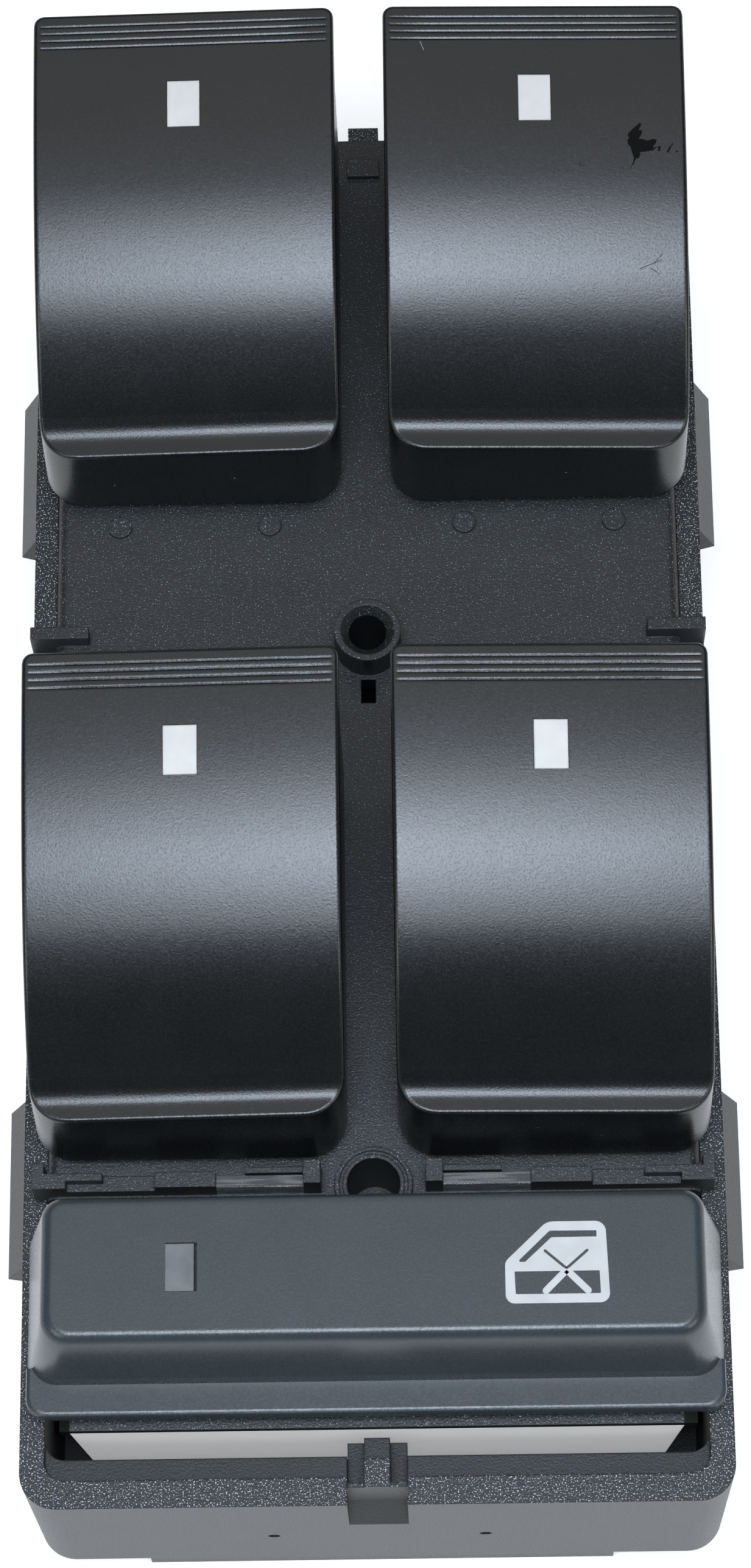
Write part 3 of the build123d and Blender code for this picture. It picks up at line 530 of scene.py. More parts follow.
def outline_stations():
    """Places along Y, from rear to front, each with the inset and the outward direction of the side there."""
    places = {BACK_Y, WINDOW_REAR, WINDOW_NEAR}
    for step in range(round(90 / CORNER_TURN) + 1):
        turn = math.radians(CORNER_TURN * step)
        places.add(ROCKER_FRONT + NEAR_CORNER_R * (1 - math.cos(turn)))
        if step % REAR_CORNER_EVERY == 0:
            places.add(ROCKER_REAR - REAR_CORNER_R * (1 - math.cos(turn)))
    for index in range(RIB_COUNT):
        middle = rib_middle(index)
        places.update(middle + RIB_WIDTH * (step / RIB_STEPS - 0.5) for step in range(RIB_STEPS + 1))
    cove_end = KNOTS[-1][0]
    shelf_y = ROCKER_FRONT + SHELF_LENGTH
    places.update(shelf_y + (cove_end - shelf_y) * step / COVE_STEPS for step in range(COVE_STEPS + 1))
    run = int((ROOF_EVEN_TO - cove_end) / ROOF_STEP)
    places.update(cove_end + (ROOF_EVEN_TO - cove_end) * step / run for step in range(run + 1))
    places.update(BACK_Y + ROOF_STEP * step for step in range(LIP_STEPS))
    ordered = sorted(places, reverse=True)
    kept = ordered[:1]
    for y in ordered[1:]:
        if kept[-1] - y > LEAST_STEP:
            kept.append(y)
        elif y in (BACK_Y, ROCKER_FRONT, WINDOW_REAR, WINDOW_NEAR):
            kept[-1] = y
    return [(y, *side_at(y)) for y in kept]


def side_at(y):
    """Inset of the side at a place along Y, and its outward direction as (sideways, along)."""
    for end, r, sign in ((ROCKER_FRONT, NEAR_CORNER_R, -1), (ROCKER_REAR, REAR_CORNER_R, 1)):
        depth = abs(y - end)
        if depth < r:
            turn = math.acos(1 - depth / r)
            return r * (1 - math.sin(turn)), math.sin(turn), sign * math.cos(turn)
    return 0.0, 1.0, 0.0


STATIONS = outline_stations()


def column_shares():
    """Shares of a rocker's width that divide its top, the ribs' ends and the window's sides among them."""
    width = ROCKER_OUTER - ROCKER_INNER - 2 * EDGE_R
    half = WINDOW_W / 2 + WINDOW_PLAY
    rib = RIB_MARGIN - EDGE_R
    left = [0, rib - 0.1, rib + 0.1, width * 0.15, width * 0.3, width / 2 - half]
    cuts = left + [width - cut for cut in reversed(left)]
    return [c / width for c in cuts]


# The columns of the top that hold the window and the ribs
SHARES = column_shares()
WINDOW_COLUMN = 5
RIB_COLUMNS = range(2, len(SHARES) - 2)


def lean_at(z):
    """How far the near face stands forward at a height."""
    return FACE_LEAN * (SHELF_Z - z) / (SHELF_Z - SKIRT_FRONT_Z)


def edge_point(station, side, inset):
    """A point of the plan outline at a station, drawn in by a distance."""
    y, tuck, across, along = station
    x = ROCKER_INNER + tuck if side < 0 else ROCKER_OUTER - tuck
    return x - side * across * inset, y - along * inset


def leaned(x, y, z, along):
    """The point moved forward where it belongs to the near face or its corners."""
    if along < 0 or y <= ROCKER_FRONT + 0.01:
        return x, y - lean_at(z), z
    return x, y, z


def rocker_grid(shape):
    """The top of a rocker inside its edge rounding, as rows of points from rear to front."""
    rows = []
    for station in STATIONS:
        left = edge_point(station, -1, EDGE_R)
        right = edge_point(station, 1, EDGE_R)
        row = []
        for column, share in enumerate(SHARES):
            x = left[0] + (right[0] - left[0]) * share
            y = left[1]
            z = rocker_top(x, y)
            if column in RIB_COLUMNS:
                z -= rib_dip(y)
            row.append(shape.add(*leaned(x, y, z, station[3])))
        rows.append(row)
    return rows


def border(rows):
    """The grid's outer points in order: left side, near edge, right side, rear edge."""
    left = [row[0] for row in rows]
    near = rows[-1][1:-1]
    right = [row[-1] for row in reversed(rows)]
    rear = list(reversed(rows[0][1:-1]))
    return left + near + right + rear


def border_sides():
    """The same order as border, as (outward x, outward y) of each point."""
    left = [(-s[2], s[3]) for s in STATIONS]
    near = [(0.0, -1.0)] * (len(SHARES) - 2)
    right = [(s[2], s[3]) for s in reversed(STATIONS)]
    rear = [(0.0, 1.0)] * (len(SHARES) - 2)
    return left + near + right + rear


def rocker_shape():
    """A whole right rocker of the rear row."""
    shape = Shape()
    rows = rocker_grid(shape)
    hole = [i for i in range(len(rows) - 1)
            if WINDOW_NEAR < (STATIONS[i][0] + STATIONS[i + 1][0]) / 2 < WINDOW_REAR]
    for i in range(len(rows) - 1):
        for c in range(len(SHARES) - 1):
            if not (i in hole and c == WINDOW_COLUMN):
                shape.face(rows[i][c], rows[i][c + 1], rows[i + 1][c + 1], rows[i + 1][c])
    window_sides(shape, rows, hole)
    edge = border(rows)
    sides = border_sides()
    previous = edge
    for step in range(1, EDGE_STEPS + 1):
        turn = math.radians(90 * step / EDGE_STEPS)
        out = EDGE_R * math.sin(turn)
        fall = EDGE_R * (1 - math.cos(turn))
        ring = []
        for index, (nx, ny) in zip(edge, sides):
            x, y, z = shape.points[index]
            ring.append(shape.add(x + nx * out, y + ny * out, z - fall))
        shape.ring(previous, ring)
        previous = ring
    rocker_walls(shape, previous)
    return shape


def window_sides(shape, rows, hole):
    """The four sides of the window's hole."""
    first, last = hole[0], hole[-1] + 1
    loop = [rows[i][WINDOW_COLUMN] for i in range(first, last + 1)]
    loop += [rows[i][WINDOW_COLUMN + 1] for i in range(last, first - 1, -1)]
    low = []
    for index in loop:
        x, y, z = shape.points[index]
        low.append(shape.add(x, y, z - ROOF_WALL))
    shape.ring(loop, low)


def rocker_walls(shape, rim):
    """The outer walls, the lip's underside, the back wall and the hollow, below the rounded edge."""
    count, across = len(STATIONS), len(SHARES)
    left = rim[:count]
    near = rim[count:count + across - 2]
    right = list(reversed(rim[count + across - 2:2 * count + across - 2]))
    rear = list(reversed(rim[2 * count + across - 2:]))
    back = [s[0] for s in STATIONS].index(BACK_Y)
    under = lip_underside(shape, left, right, back)
    shape.strip([left[0]] + rear + [right[0]], under[0])
    foot = [shape.add(ROCKER_INNER + (ROCKER_OUTER - ROCKER_INNER) * share, BACK_FOOT_Y, SKIRT_BACK_Z)
            for share in SHARES]
    shape.strip(under[back], foot)
    low_left = side_wall(shape, left, back, under[back][0], foot[0])
    low_right = side_wall(shape, right, back, under[back][-1], foot[-1])
    near_low = [shape.add(shape.points[i][0], ROCKER_FRONT - FACE_LEAN, SKIRT_FRONT_Z) for i in near]
    near_foot = [low_left[-1]] + near_low + [low_right[-1]]
    shape.strip([left[-1]] + near + [right[-1]], near_foot)
    rocker_hollow(shape, low_left, low_right, near_foot, foot)


def lip_underside(shape, left, right, back):
    """Rows under the lip from its rear edge to the back wall, closed to the rounded edge at both sides."""
    under = []
    for i in range(back + 1):
        y = STATIONS[i][0]
        x0, x1 = shape.points[left[i]][0], shape.points[right[i]][0]
        row = []
        for share in SHARES:
            x = x0 + (x1 - x0) * share
            row.append(shape.add(x, y, underside(y) - CROWN * (x - ROCKER_INNER)))
        under.append(row)
    for upper, lower in zip(under, under[1:]):
        shape.strip(upper, lower)
    shape.strip(left[:back + 1], [row[0] for row in under])
    shape.strip(right[:back + 1], [row[-1] for row in under])
    return under


def side_wall(shape, edge, back, corner, foot):
    """A side's wall from the rounded edge down to the skirt, as the points of its lower edge."""
    low = [foot]
    for i in range(back + 1, len(STATIONS)):
        y = STATIONS[i][0]
        low.append(shape.add(*leaned(shape.points[edge[i]][0], y, skirt(y), STATIONS[i][3])))
    shape.face(edge[back], edge[back + 1], low[1], low[0], corner)
    shape.strip(edge[back + 1:], low[1:])
    return low


def rocker_hollow(shape, low_left, low_right, near_foot, back_foot):
    """The inside of a rocker, open below, with its lower rim."""
    x0, x1 = ROCKER_INNER + SIDE_WALL, ROCKER_OUTER - SIDE_WALL
    y_near, y_far = ROCKER_FRONT + SIDE_WALL, BACK_Y - BACK_WALL
    highs, lows = ([], []), ([], [])
    for step in range(HOLLOW_STEPS + 1):
        y = y_far + (y_near - y_far) * step / HOLLOW_STEPS
        thick = ROOF_WALL / math.cos(math.atan((roof(y + 0.1) - roof(y - 0.1)) / 0.2))
        for x, high, low in zip((x0, x1), highs, lows):
            high.append(shape.add(x, y, rocker_top(x, y) - thick))
            low.append(shape.add(x, y, skirt(y)))
    (left_high, right_high), (left_low, right_low) = highs, lows
    shape.strip(left_high, right_high)
    shape.strip(left_low, left_high)
    shape.strip(right_low, right_high)
    for end in (0, -1):
        shape.face(left_low[end], right_low[end], right_high[end], left_high[end])
    rim_between(shape, low_left, left_low)
    rim_between(shape, low_right, right_low)
    rim_between(shape, near_foot, [left_low[-1], right_low[-1]])
    rim_between(shape, back_foot, [left_low[0], right_low[0]])


def rim_between(shape, outer, inner):
    """Faces between two rows of different lengths that run the same way."""
    a, b = 0, 0
    while a < len(outer) - 1 or b < len(inner) - 1:
        share_a = (a + 1) / (len(outer) - 1) if a < len(outer) - 1 else 2
        share_b = (b + 1) / (len(inner) - 1) if b < len(inner) - 1 else 2
        if share_a <= share_b:
            shape.face(outer[a], outer[a + 1], inner[b])
            a += 1
        else:
            shape.face(outer[a], inner[b + 1], inner[b])
            b += 1


def rocker_inside():
    """Legs with round tips and bored pivot bosses of a right rocker."""
    shape = Shape()
    middle = (ROCKER_INNER + ROCKER_OUTER) / 2
    for d in (LEG_PUSH, -LEG_PULL):
        y = PIVOT_Y + d
        top = rocker_top(middle, y) - ROOF_WALL / 2
        profile = [(y - LEG_T / 2, top)]
        for step in range(TIP_STEPS + 1):
            turn = math.pi + math.pi * step / TIP_STEPS
            profile.append((y + LEG_T / 2 * math.cos(turn), LEG_TIP_Z + LEG_T / 2 * (1 + math.sin(turn))))
        profile.append((y + LEG_T / 2, top))
        near = [shape.add(middle - LEG_WIDTH / 2, *p) for p in profile]
        far = [shape.add(middle + LEG_WIDTH / 2, *p) for p in profile]
        shape.ring(near, far)
        shape.face(*near)
        shape.face(*far)
    for x_wall, x_open in ((ROCKER_INNER + STUB_WALL, ROCKER_INNER + BOSS_REACH),
                           (ROCKER_OUTER - STUB_WALL, ROCKER_OUTER - BOSS_REACH)):
        loops = [circle(shape, x, r) for x, r in ((x_wall, BOSS_R), (x_open, BOSS_R), (x_open, BORE_R),
                                                  (x_wall, BORE_R))]
        for first, second in zip(loops, loops[1:]):
            shape.ring(first, second)
        shape.face(*loops[-1])
    return shape


def circle(shape, x, r):
    """A loop of points round the pivot."""
    turns = [2 * math.pi * step / ROUND_STEPS for step in range(ROUND_STEPS)]
    return [shape.add(x, PIVOT_Y + r * math.cos(t), PIVOT_Z + r * math.sin(t)) for t in turns]


def add_rockers():
    """The four rockers, each with its inner parts."""
    skin, inside = rocker_shape(), rocker_inside()
    for row, shift in ROWS.items():
        for side_name, side in SIDES.items():
            body = f"rocker_{row}_{side_name}"
            outer = make_object(f"shell_{row}_{side_name}", skin.placed(side, shift), ROCKER_BLACK, body)
            inner = make_object(f"legs_{row}_{side_name}", inside.placed(side, shift), ROCKER_BLACK, body)
            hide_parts(body)


# Lock key


def arc(shape, cx, cy, z, r, start):
    """A quarter round from a start angle in degrees, as points at one height."""
    turns = [math.radians(start + 90 * step / ARC_STEPS) for step in range(ARC_STEPS + 1)]
    return [shape.add(cx + r * math.cos(t), cy + r * math.sin(t), z) for t in turns]


def key_loop(shape, z, inset=0.0, relief=0.0):
    """Plan outline of the key's body at a height, drawn in, with round corners and its rear relieved."""
    share = (z - FLANGE_Z) / (KEY_TOP_Z - FLANGE_Z)
    half = KEY_HALF - KEY_DRAFT * share - inset
    near = KEY_FRONT_LOW + KEY_NEAR_DRAFT * share ** KEY_NEAR_CURVE + inset
    rear = KEY_REAR - inset
    near_r, rear_r = KEY_NEAR_R - inset, KEY_REAR_R - inset
    corners = ((-half + near_r, near + near_r, near_r, 180), (half - near_r, near + near_r, near_r, 270),
               (half - rear_r, rear - rear_r, rear_r, 0), (-half + rear_r, rear - rear_r, rear_r, 90))
    loop = []
    for cx, cy, r, start in corners:
        loop += arc(shape, cx, cy, z, r, start)
        if start == 0:
            for x, depth in ((1, 0.0), (1, relief), (-1, relief), (-1, 0.0)):
                loop.append(shape.add(x * RELIEF_HALF, rear - depth, z))
    return loop


def lock_key_shape():
    """The key's body with its rounded top, lens hole, flange, hollow and stems."""
    shape = Shape()
    loops = [key_loop(shape, z, relief=RELIEF_DEPTH) for z in (FLANGE_Z, FLANGE_TOP, RELIEF_TOP)]
    loops += [key_loop(shape, z) for z in (RELIEF_TOP, *KEY_SIDE_LEVELS, KEY_TOP_Z - KEY_EDGE_R)]
    for step in range(1, KEY_EDGE_STEPS + 1):
        turn = math.radians(90 * step / KEY_EDGE_STEPS)
        loops.append(key_loop(shape, KEY_TOP_Z - KEY_EDGE_R * (1 - math.sin(turn)),
                              KEY_EDGE_R * (1 - math.cos(turn))))
    loops.append(key_loop(shape, KEY_TOP_Z, KEY_EDGE_R + FLAT_MARGIN))
    for first, second in zip(loops, loops[1:]):
        shape.ring(first, second)
    key_top(shape, loops[-1])
    key_hollow(shape, loops[0])
    key_flange(shape)
    key_stems(shape)
    return shape


def key_top(shape, loop):
    """The flat top with the lens's hole, filled from the hole outwards."""
    hx, hy = LENS_W / 2 + LENS_PLAY, LENS_L / 2 + LENS_PLAY
    corners = rectangle(LENS_X - hx, LENS_X + hx, LENS_Y - hy, LENS_Y + hy)
    hole = [shape.add(x, y, KEY_TOP_Z) for x, y in corners]
    low = [shape.add(x, y, KEY_TOP_Z - LENS_DEPTH) for x, y in corners]
    shape.ring(hole, low)
    fan_to_corners(shape, loop, hole)


def fan_to_corners(shape, loop, inner):
    """Fills between the key's rounded outline and the four corners of a rectangle inside it.

    The outline's third run holds the relief's points too.
    """
    quarter = ARC_STEPS + 1
    cuts = (0, quarter, 2 * quarter, len(loop) - quarter, len(loop))
    runs = [loop[a:b] for a, b in zip(cuts, cuts[1:])]
    for i, run in enumerate(runs):
        following = (i + 1) % 4
        for first, second in zip(run, run[1:]):
            shape.face(first, second, inner[i])
        shape.face(run[-1], runs[following][0], inner[following], inner[i])


def key_hollow(shape, foot):
    """The key's inside, open below."""
    half = KEY_HALF - KEY_DRAFT - KEY_WALL
    corners = rectangle(-half, half, KEY_FRONT_LOW + KEY_NEAR_DRAFT + KEY_WALL, KEY_REAR - KEY_WALL)
    low = [shape.add(x, y, FLANGE_Z) for x, y in corners]
    high = [shape.add(x, y, KEY_TOP_Z - KEY_WALL) for x, y in corners]
    shape.ring(low, high)
    shape.face(*high)
    fan_to_corners(shape, foot, low)


def key_flange(shape):
    """The flange at the key's foot, with rounded near corners and a soft upper edge."""
    loops = []
    for z, tuck in FLANGE_SECTIONS:
        half, near = KEY_HALF - tuck, KEY_FRONT_FLANGE + tuck + FLANGE_R
        loop = arc(shape, -half + FLANGE_R, near, z, FLANGE_R, 180)
        loop += arc(shape, half - FLANGE_R, near, z, FLANGE_R, 270)
        loop += [shape.add(x, KEY_FRONT_LOW + KEY_WALL, z) for x in (half, -half)]
        loops.append(loop)
    for first, second in zip(loops, loops[1:]):
        shape.ring(first, second)
    shape.face(*reversed(loops[0]))
    shape.face(*loops[-1])


def key_stems(shape):
    """Three square stems, the outer two with hooks."""
    half = KEY_STEM / 2
    top = KEY_TOP_Z - KEY_WALL / 2
    shape.stem(0, KEY_STEM_Y, half, KEY_STEM_LOW, top)
    for side in SIDES.values():
        x = side * KEY_STEM_X
        shape.stem(x, KEY_STEM_Y, half, KEY_STEM_BELOW, top)
        outer = x + side * half
        hook = ((outer - side * KEY_HOOK, KEY_HOOK_TOP), (outer + side * KEY_HOOK, KEY_HOOK_TOP),
                (outer, KEY_HOOK_LOW), (outer - side * KEY_HOOK, KEY_HOOK_LOW))
        near = [shape.add(a, KEY_STEM_Y - half, b) for a, b in hook]
        far = [shape.add(a, KEY_STEM_Y + half, b) for a, b in hook]
        shape.ring(near, far)
        shape.face(*near)
        shape.face(*far)


def add_key():
    """The lock key with its sign."""
    key = make_object("lock_key_shell", lock_key_shape(), KEY_BLACK, "lock_key", sharp_deg=28)
    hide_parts("lock_key")
    add_sign()


# Sign on the key: a car door's outline with its window, crossed out. Its corners are given from its own
# lower left corner, each with the radius that it is rounded to. An arm has its reach, half its width, and how
# far it starts above the middle.
SIGN_LEFT = 10.52
SIGN_LOW = -49.12
SIGN_SUNK = 0.02
SIGN_STEP = 0.012
SIGN_ARC_STEPS = 6
SIGN_OUTLINE = (((0.0, 0.0), 0.7), ((8.3, 0.0), 0.75), ((8.06, 6.66), 0.85), ((3.39, 6.66), 1.2),
                ((0.0, 3.42), 0.8))
SIGN_ROOF = (((0.98, 3.38), 0.1), ((1.6, 3.38), 0.1), ((3.72, 5.36), 0.3), ((7.33, 5.38), 0.05),
             ((7.33, 5.88), 0.05), ((3.6, 5.9), 0.3))
SIGN_PANEL = (((0.8, 0.75), 0.1), ((7.56, 0.75), 0.1), ((7.5, 2.6), 0.05), ((0.74, 2.6), 0.05))
SIGN_MIDDLE = (4.88, 2.82)
SIGN_ARMS = {"upper": ((1.68, 1.47), 0.11, -0.02), "lower": ((1.67, -1.68), 0.28, -0.14)}


def softened(corners):
    """Points round a polygon whose corners, given with a radius each, are cut to an arc."""
    points = []
    for i, (corner, r) in enumerate(corners):
        here = Vector(corner)
        back = (Vector(corners[i - 1][0]) - here).normalized()
        ahead = (Vector(corners[(i + 1) % len(corners)][0]) - here).normalized()
        half = back.angle(ahead) / 2
        middle = here + (back + ahead).normalized() * (r / math.sin(half))
        reach = r / math.tan(half)
        first, last = here + back * reach - middle, here + ahead * reach - middle
        for step in range(SIGN_ARC_STEPS + 1):
            way = first.lerp(last, step / SIGN_ARC_STEPS)
            points.append(tuple(middle + way.normalized() * r))
    return points


def sign_plate(name, points, level, material, slot):
    """One thin plate of the sign, a little higher than the plates of the level below."""
    shape = Shape()
    low = [shape.add(SIGN_LEFT + x, SIGN_LOW + y, KEY_TOP_Z - SIGN_SUNK) for x, y in points]
    high = [shape.add(SIGN_LEFT + x, SIGN_LOW + y, KEY_TOP_Z + SIGN_STEP * level) for x, y in points]
    shape.ring(low, high)
    shape.face(*high)
    shape.face(*reversed(low))
    obj = make_object(name, shape, material, "lock_key")


def arm_points(side, reach, half, rise):
    """A bar with a round end from the middle of the cross."""
    start = Vector((SIGN_MIDDLE[0], SIGN_MIDDLE[1] + rise))
    way = Vector((side * reach[0], reach[1]))
    along = way.normalized()
    across = Vector((-along.y, along.x))
    points = [tuple(start + across * half), tuple(start - across * half)]
    for step in range(ARC_STEPS + 1):
        turn = math.radians(-90 + 180 * step / ARC_STEPS)
        points.append(tuple(start + way + along * (half * math.cos(turn)) + across * (half * math.sin(turn))))
    return points


def add_sign():
    """The crossed-out window: white, with a dark roof line, a dark lower panel and a cross in both."""
    sign_plate("sign_door", softened(SIGN_OUTLINE), 1, SIGN_WHITE, "white_plastic")
    sign_plate("sign_roof", softened(SIGN_ROOF), 2, KEY_BLACK, "rocker_black")
    sign_plate("sign_panel", softened(SIGN_PANEL), 2, KEY_BLACK, "rocker_black")
    looks = {"upper": (2, KEY_BLACK, "rocker_black"), "lower": (3, SIGN_WHITE, "white_plastic")}
    for arm, (reach, half, rise) in SIGN_ARMS.items():
        for side_name, side in SIDES.items():
            sign_plate(f"sign_{arm}_{side_name}", arm_points(side, reach, half, rise), *looks[arm])


# Marks of use. All but the dust are on the rear right rocker. A stroke has its two ends and its width, and
# the blot and its trail are given from the blot's own place.
MARK_LIFT = 0.012
ROW_WIDTH = 0.05
FINE_ROW = 0.02
INK_PLACE = (22.83, 49.31)
INK_BLOT = (
    (1.04, 1.65), (0.44, 1.13), (0.04, 0.74), (-0.02, 0.52), (0.13, 0.39), (-0.04, 0.17), (-0.04, -0.13),
    (0.22, -0.48), (0.3, -0.87), (0.48, -1.39), (0.33, -1.96), (0.42, -1.96), (0.65, -1.44), (0.91, -1.39),
    (1.04, -1.04), (0.96, -0.91), (1.31, -0.87), (2.09, -0.74), (2.35, -0.57), (2.09, -0.45), (2.39, -0.09),
    (2.44, 0.19), (2.09, 0.24), (1.65, 0.09), (1.22, 0.24), (0.91, 0.28), (1.17, 0.65), (1.22, 1.0),
    (0.91, 1.0), (1.17, 1.48))
INK_TRAIL = (((2.2, -0.5), (2.83, -0.4), 0.07), ((2.6, -0.8), (2.68, -0.45), 0.18),
             ((3.35, -0.91), (3.57, -0.48), 0.16), ((3.57, -0.48), (3.83, -0.15), 0.09),
             ((4.05, -0.88), (4.2, -0.8), 0.12), ((0.15, -2.3), (0.4, -1.8), 0.05))
DARK_SCRATCHES = (((23.6, 38.9), (25.5, 39.6), 0.05), ((24.5, 39.0), (25.3, 38.5), 0.04),
                  ((24.9, 39.4), (25.6, 40.1), 0.04))
LIGHT_SCRATCHES = (((5.3, 58.3), (5.6, 57.5), 0.05), ((9.2, 44.1), (10.4, 44.5), 0.02))
SPECK_COUNT = 14
SPECK_X = (16.2, 20.4)
SPECK_Y = (46.6, 48.4)
SPECK_LENGTH = (0.05, 0.2)
SPECK_WIDTH = 0.05

# Dust on the rockers' near faces: row, side, distance from the middle, height; and the outline of one grain
DUST_PLACES = (("rear", "left", 21.6, 31.2), ("rear", "left", 11.2, 32.0), ("rear", "right", 17.2, 32.0),
               ("front", "right", 13.4, 33.2), ("front", "right", 18.6, 31.6))
DUST_OUTLINE = ((0.0, 0.0), (0.16, 0.03), (0.12, 0.16), (-0.03, 0.12))


def crossings(outline, y):
    """Places along X where a closed outline crosses a line of constant Y."""
    found = []
    for (x0, y0), (x1, y1) in zip(outline, outline[1:] + outline[:1]):
        if (y0 > y) != (y1 > y):
            found.append(x0 + (x1 - x0) * (y - y0) / (y1 - y0))
    return sorted(found)


def fill(shape, outline, row=ROW_WIDTH):
    """Fills an outline with narrow rows that lie on the rocker's top."""
    low, high = min(y for _, y in outline), max(y for _, y in outline)
    count = max(round((high - low) / row), 1)
    for step in range(count):
        y0, y1 = low + (high - low) * step / count, low + (high - low) * (step + 1) / count
        cuts = crossings(outline, (y0 + y1) / 2)
        for x0, x1 in zip(cuts[::2], cuts[1::2]):
            shape.face(*(shape.add(x, y, rocker_top(x, y) + MARK_LIFT) for x, y in rectangle(x0, x1, y0, y1)))


def stroke(first, last, width):
    """Outline of a straight stroke."""
    dx, dy = last[0] - first[0], last[1] - first[1]
    length = math.hypot(dx, dy)
    nx, ny = -dy / length * width / 2, dx / length * width / 2
    return [(first[0] + nx, first[1] + ny), (last[0] + nx, last[1] + ny), (last[0] - nx, last[1] - ny),
            (first[0] - nx, first[1] - ny)]


def ink_shape():
    """The ink blot with its trail, the dark scratches and a scatter of specks."""
    ink = Shape()
    px, py = INK_PLACE
    for outline in (INK_BLOT, *(stroke(*ends) for ends in INK_TRAIL)):
        fill(ink, [(px + x, py + y) for x, y in outline])
    for ends in DARK_SCRATCHES:
        fill(ink, stroke(*ends), FINE_ROW)
    for _ in range(SPECK_COUNT):
        x, y = random.uniform(*SPECK_X), random.uniform(*SPECK_Y)
        fill(ink, stroke((x, y), (x + random.uniform(*SPECK_LENGTH), y + SPECK_WIDTH), SPECK_WIDTH))
    return ink


def add_wear():
    """Ink and scratches on the rear right rocker, and dust on the near faces."""
    scratched = Shape()
    for ends in LIGHT_SCRATCHES:
        fill(scratched, stroke(*ends), FINE_ROW)
    for name, shape, material in (("ink_blot", ink_shape(), INK_BLACK), ("scratches", scratched, DUST)):
        make_object(name, shape, material, "rocker_rear_right")
    for index, (row, side_name, x, z) in enumerate(DUST_PLACES):
        grain = Shape()
        y = ROCKER_FRONT - lean_at(z) - MARK_LIFT
        grain.face(*(grain.add(x + a, y, z + b) for a, b in DUST_OUTLINE))
        placed = grain.placed(SIDES[side_name], ROWS[row])
        make_object(f"dust_{index}", placed, DUST, f"rocker_{row}_{side_name}")


# Floor, light and camera
FLOOR_HALF = 3000
FLOOR_Z = -0.02
FLOOR_GLOW = 0.55

# Lamps: place, where they shine, width, depth, power in watts, colour. The first one makes the rockers'
# bright bands.
ROCKER_AIM = (0, 0, 24)
LAMPS = {
    "main_lamp": ((0, -120, 494), ROCKER_AIM, 220, 150, 1.66, (0.84, 0.95, 1.1)),
    "left_lamp": ((-380, -330, 504), ROCKER_AIM, 260, 260, 0.8, (0.98, 1.0, 1.0)),
    "right_lamp": ((380, -330, 504), ROCKER_AIM, 260, 260, 0.8, (0.98, 1.0, 1.0)),
    "top_lamp": ((0, 200, 604), (0, 60, 24), 600, 480, 0.8, (1.0, 1.0, 1.0))}


def joined(tree, operation, first, second):
    """A math node over a socket and a socket or number."""
    made = tree.nodes.new("ShaderNodeMath")
    made.operation = operation
    tree.links.new(first, made.inputs[0])
    if isinstance(second, float):
        made.inputs[1].default_value = second
    else:
        tree.links.new(second, made.inputs[1])
    return made.outputs[0]


def add_floor():
    """A white floor that is bright to the camera and in reflections and still takes a soft shadow."""
    mesh = bpy.data.meshes.new("floor")
    corners = rectangle(-FLOOR_HALF, FLOOR_HALF, -FLOOR_HALF, FLOOR_HALF)
    mesh.from_pydata([Vector((x, y, FLOOR_Z)) * MM for x, y in corners], [], [(0, 1, 2, 3)])
    floor = bpy.data.objects.new("floor", mesh)
    bpy.context.scene.collection.objects.link(floor)
    material = bpy.data.materials.new("floor_white")
    material.use_nodes = True
    tree = material.node_tree
    shader = tree.nodes["Principled BSDF"]
    shader.inputs["Base Color"].default_value = (0.8, 0.8, 0.8, 1)
    shader.inputs["Roughness"].default_value = 0.9
    shader.inputs["Specular IOR Level"].default_value = 0.0
    rays = tree.nodes.new("ShaderNodeLightPath").outputs
    seen = joined(tree, "MAXIMUM", rays["Is Camera Ray"], rays["Is Glossy Ray"])
    seen = joined(tree, "MAXIMUM", seen, rays["Is Transmission Ray"])
    glow = tree.nodes.new("ShaderNodeEmission")
    tree.links.new(joined(tree, "MULTIPLY", seen, FLOOR_GLOW), glow.inputs["Strength"])
    both = tree.nodes.new("ShaderNodeAddShader")
    tree.links.new(shader.outputs[0], both.inputs[0])
    tree.links.new(glow.outputs[0], both.inputs[1])
    tree.links.new(both.outputs[0], tree.nodes["Material Output"].inputs["Surface"])
    mesh.materials.append(material)


def add_lamp(name, place, aim, width, depth, power, colour):
    """A soft rectangular lamp above the switch."""
    data = bpy.data.lights.new(name, "AREA")
    data.shape = "RECTANGLE"
    data.size = width * MM
    data.size_y = depth * MM
    data.energy = power
    data.color = colour
    lamp = bpy.data.objects.new(name, data)
    lamp.location = Vector(place) * MM
    lamp.rotation_euler = (Vector(aim) - Vector(place)).to_track_quat("-Z", "Y").to_euler()
    bpy.context.scene.collection.objects.link(lamp)


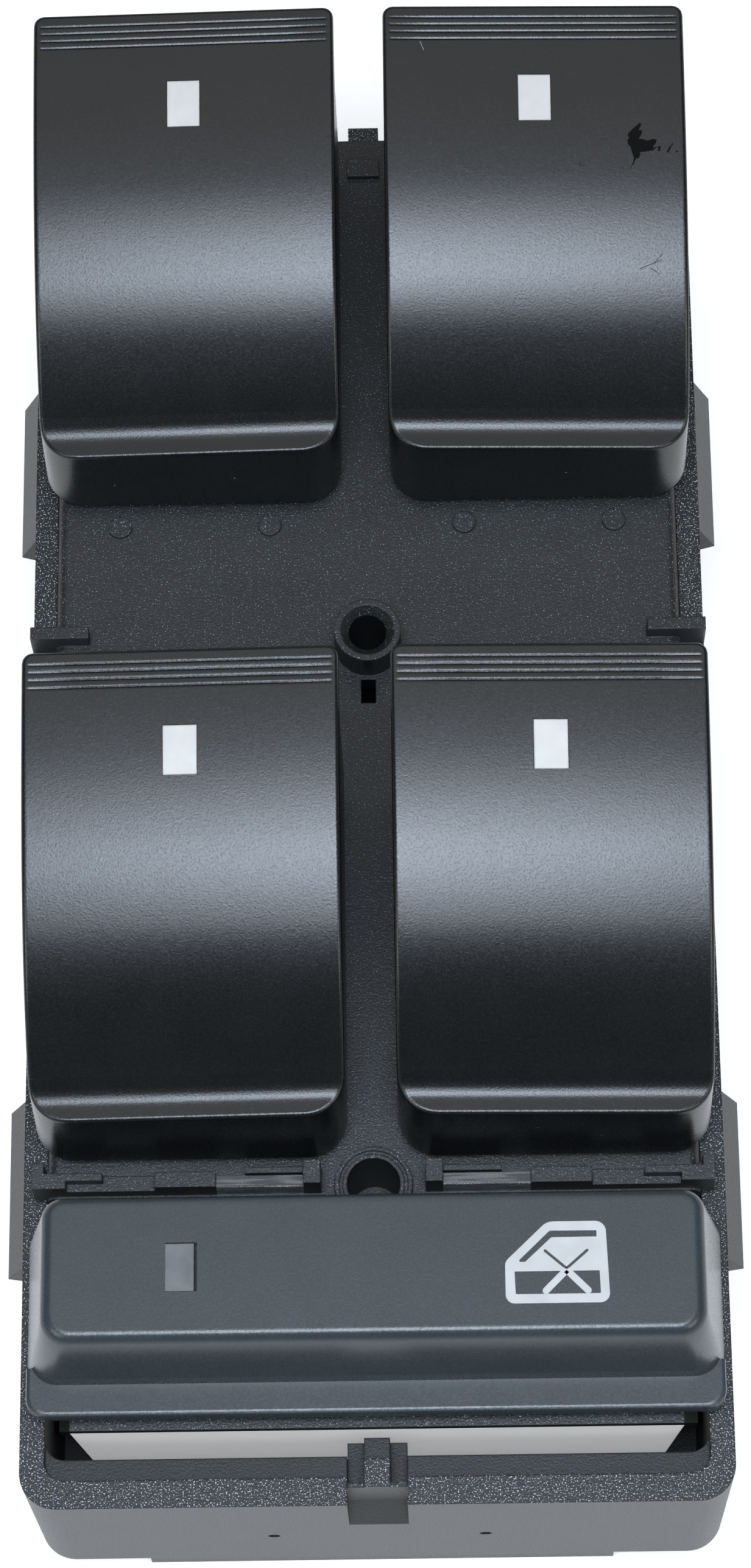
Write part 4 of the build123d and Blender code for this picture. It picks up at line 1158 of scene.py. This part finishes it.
def add_world():
    """A dim room, pale near the horizon and white to the camera."""
    world = bpy.data.worlds.new("room")
    world.use_nodes = True
    tree = world.node_tree
    coords = tree.nodes.new("ShaderNodeTexCoord")
    split = tree.nodes.new("ShaderNodeSeparateXYZ")
    tree.links.new(coords.outputs["Generated"], split.inputs[0])
    fade = tree.nodes.new("ShaderNodeMapRange")
    for key, number in (("From Min", 0.02), ("From Max", 0.3), ("To Min", 1.0), ("To Max", 0.05)):
        fade.inputs[key].default_value = number
    tree.links.new(split.outputs["Z"], fade.inputs["Value"])
    rays = tree.nodes.new("ShaderNodeLightPath").outputs
    seen = joined(tree, "MAXIMUM", rays["Is Camera Ray"], fade.outputs["Result"])
    ground = tree.nodes["Background"]
    tree.links.new(seen, ground.inputs["Strength"])
    ground.inputs["Color"].default_value = (1, 1, 1, 1)
    bpy.context.scene.world = world


# Camera fitted to the photograph: place and lens in millimetres, turns in degrees
CAMERA_PLACE = (5.381, -133.626, 379.642)
CAMERA_LENS = 101.59
CAMERA_SENSOR = 36.0
CAMERA_YAW = -2.111
CAMERA_DIP = 69.438
CAMERA_ROLL = -2.888


def add_camera():
    """The camera at the photograph's place and angle."""
    yaw, dip, roll = (math.radians(a) for a in (CAMERA_YAW, CAMERA_DIP, CAMERA_ROLL))
    ahead = Vector((math.sin(yaw) * math.cos(dip), math.cos(yaw) * math.cos(dip), -math.sin(dip)))
    level = Vector((math.cos(yaw), -math.sin(yaw), 0))
    up = level.cross(ahead)
    right = math.cos(roll) * level + math.sin(roll) * up
    upright = -math.sin(roll) * level + math.cos(roll) * up
    data = bpy.data.cameras.new("camera")
    data.lens = CAMERA_LENS
    data.sensor_width = CAMERA_SENSOR
    data.clip_start = 0.01
    data.clip_end = 20.0
    camera = bpy.data.objects.new("camera", data)
    turn = Matrix((right, upright, -ahead)).transposed().to_4x4()
    camera.matrix_world = Matrix.Translation(Vector(CAMERA_PLACE) * MM) @ turn
    bpy.context.scene.collection.objects.link(camera)
    bpy.context.scene.camera = camera


paint_nodes()
add_rockers()
add_key()
add_wear()
add_floor()
for lamp_name, lamp in LAMPS.items():
    add_lamp(lamp_name, *lamp)
add_world()
add_camera()
bpy.context.scene.view_settings.view_transform = "Standard"
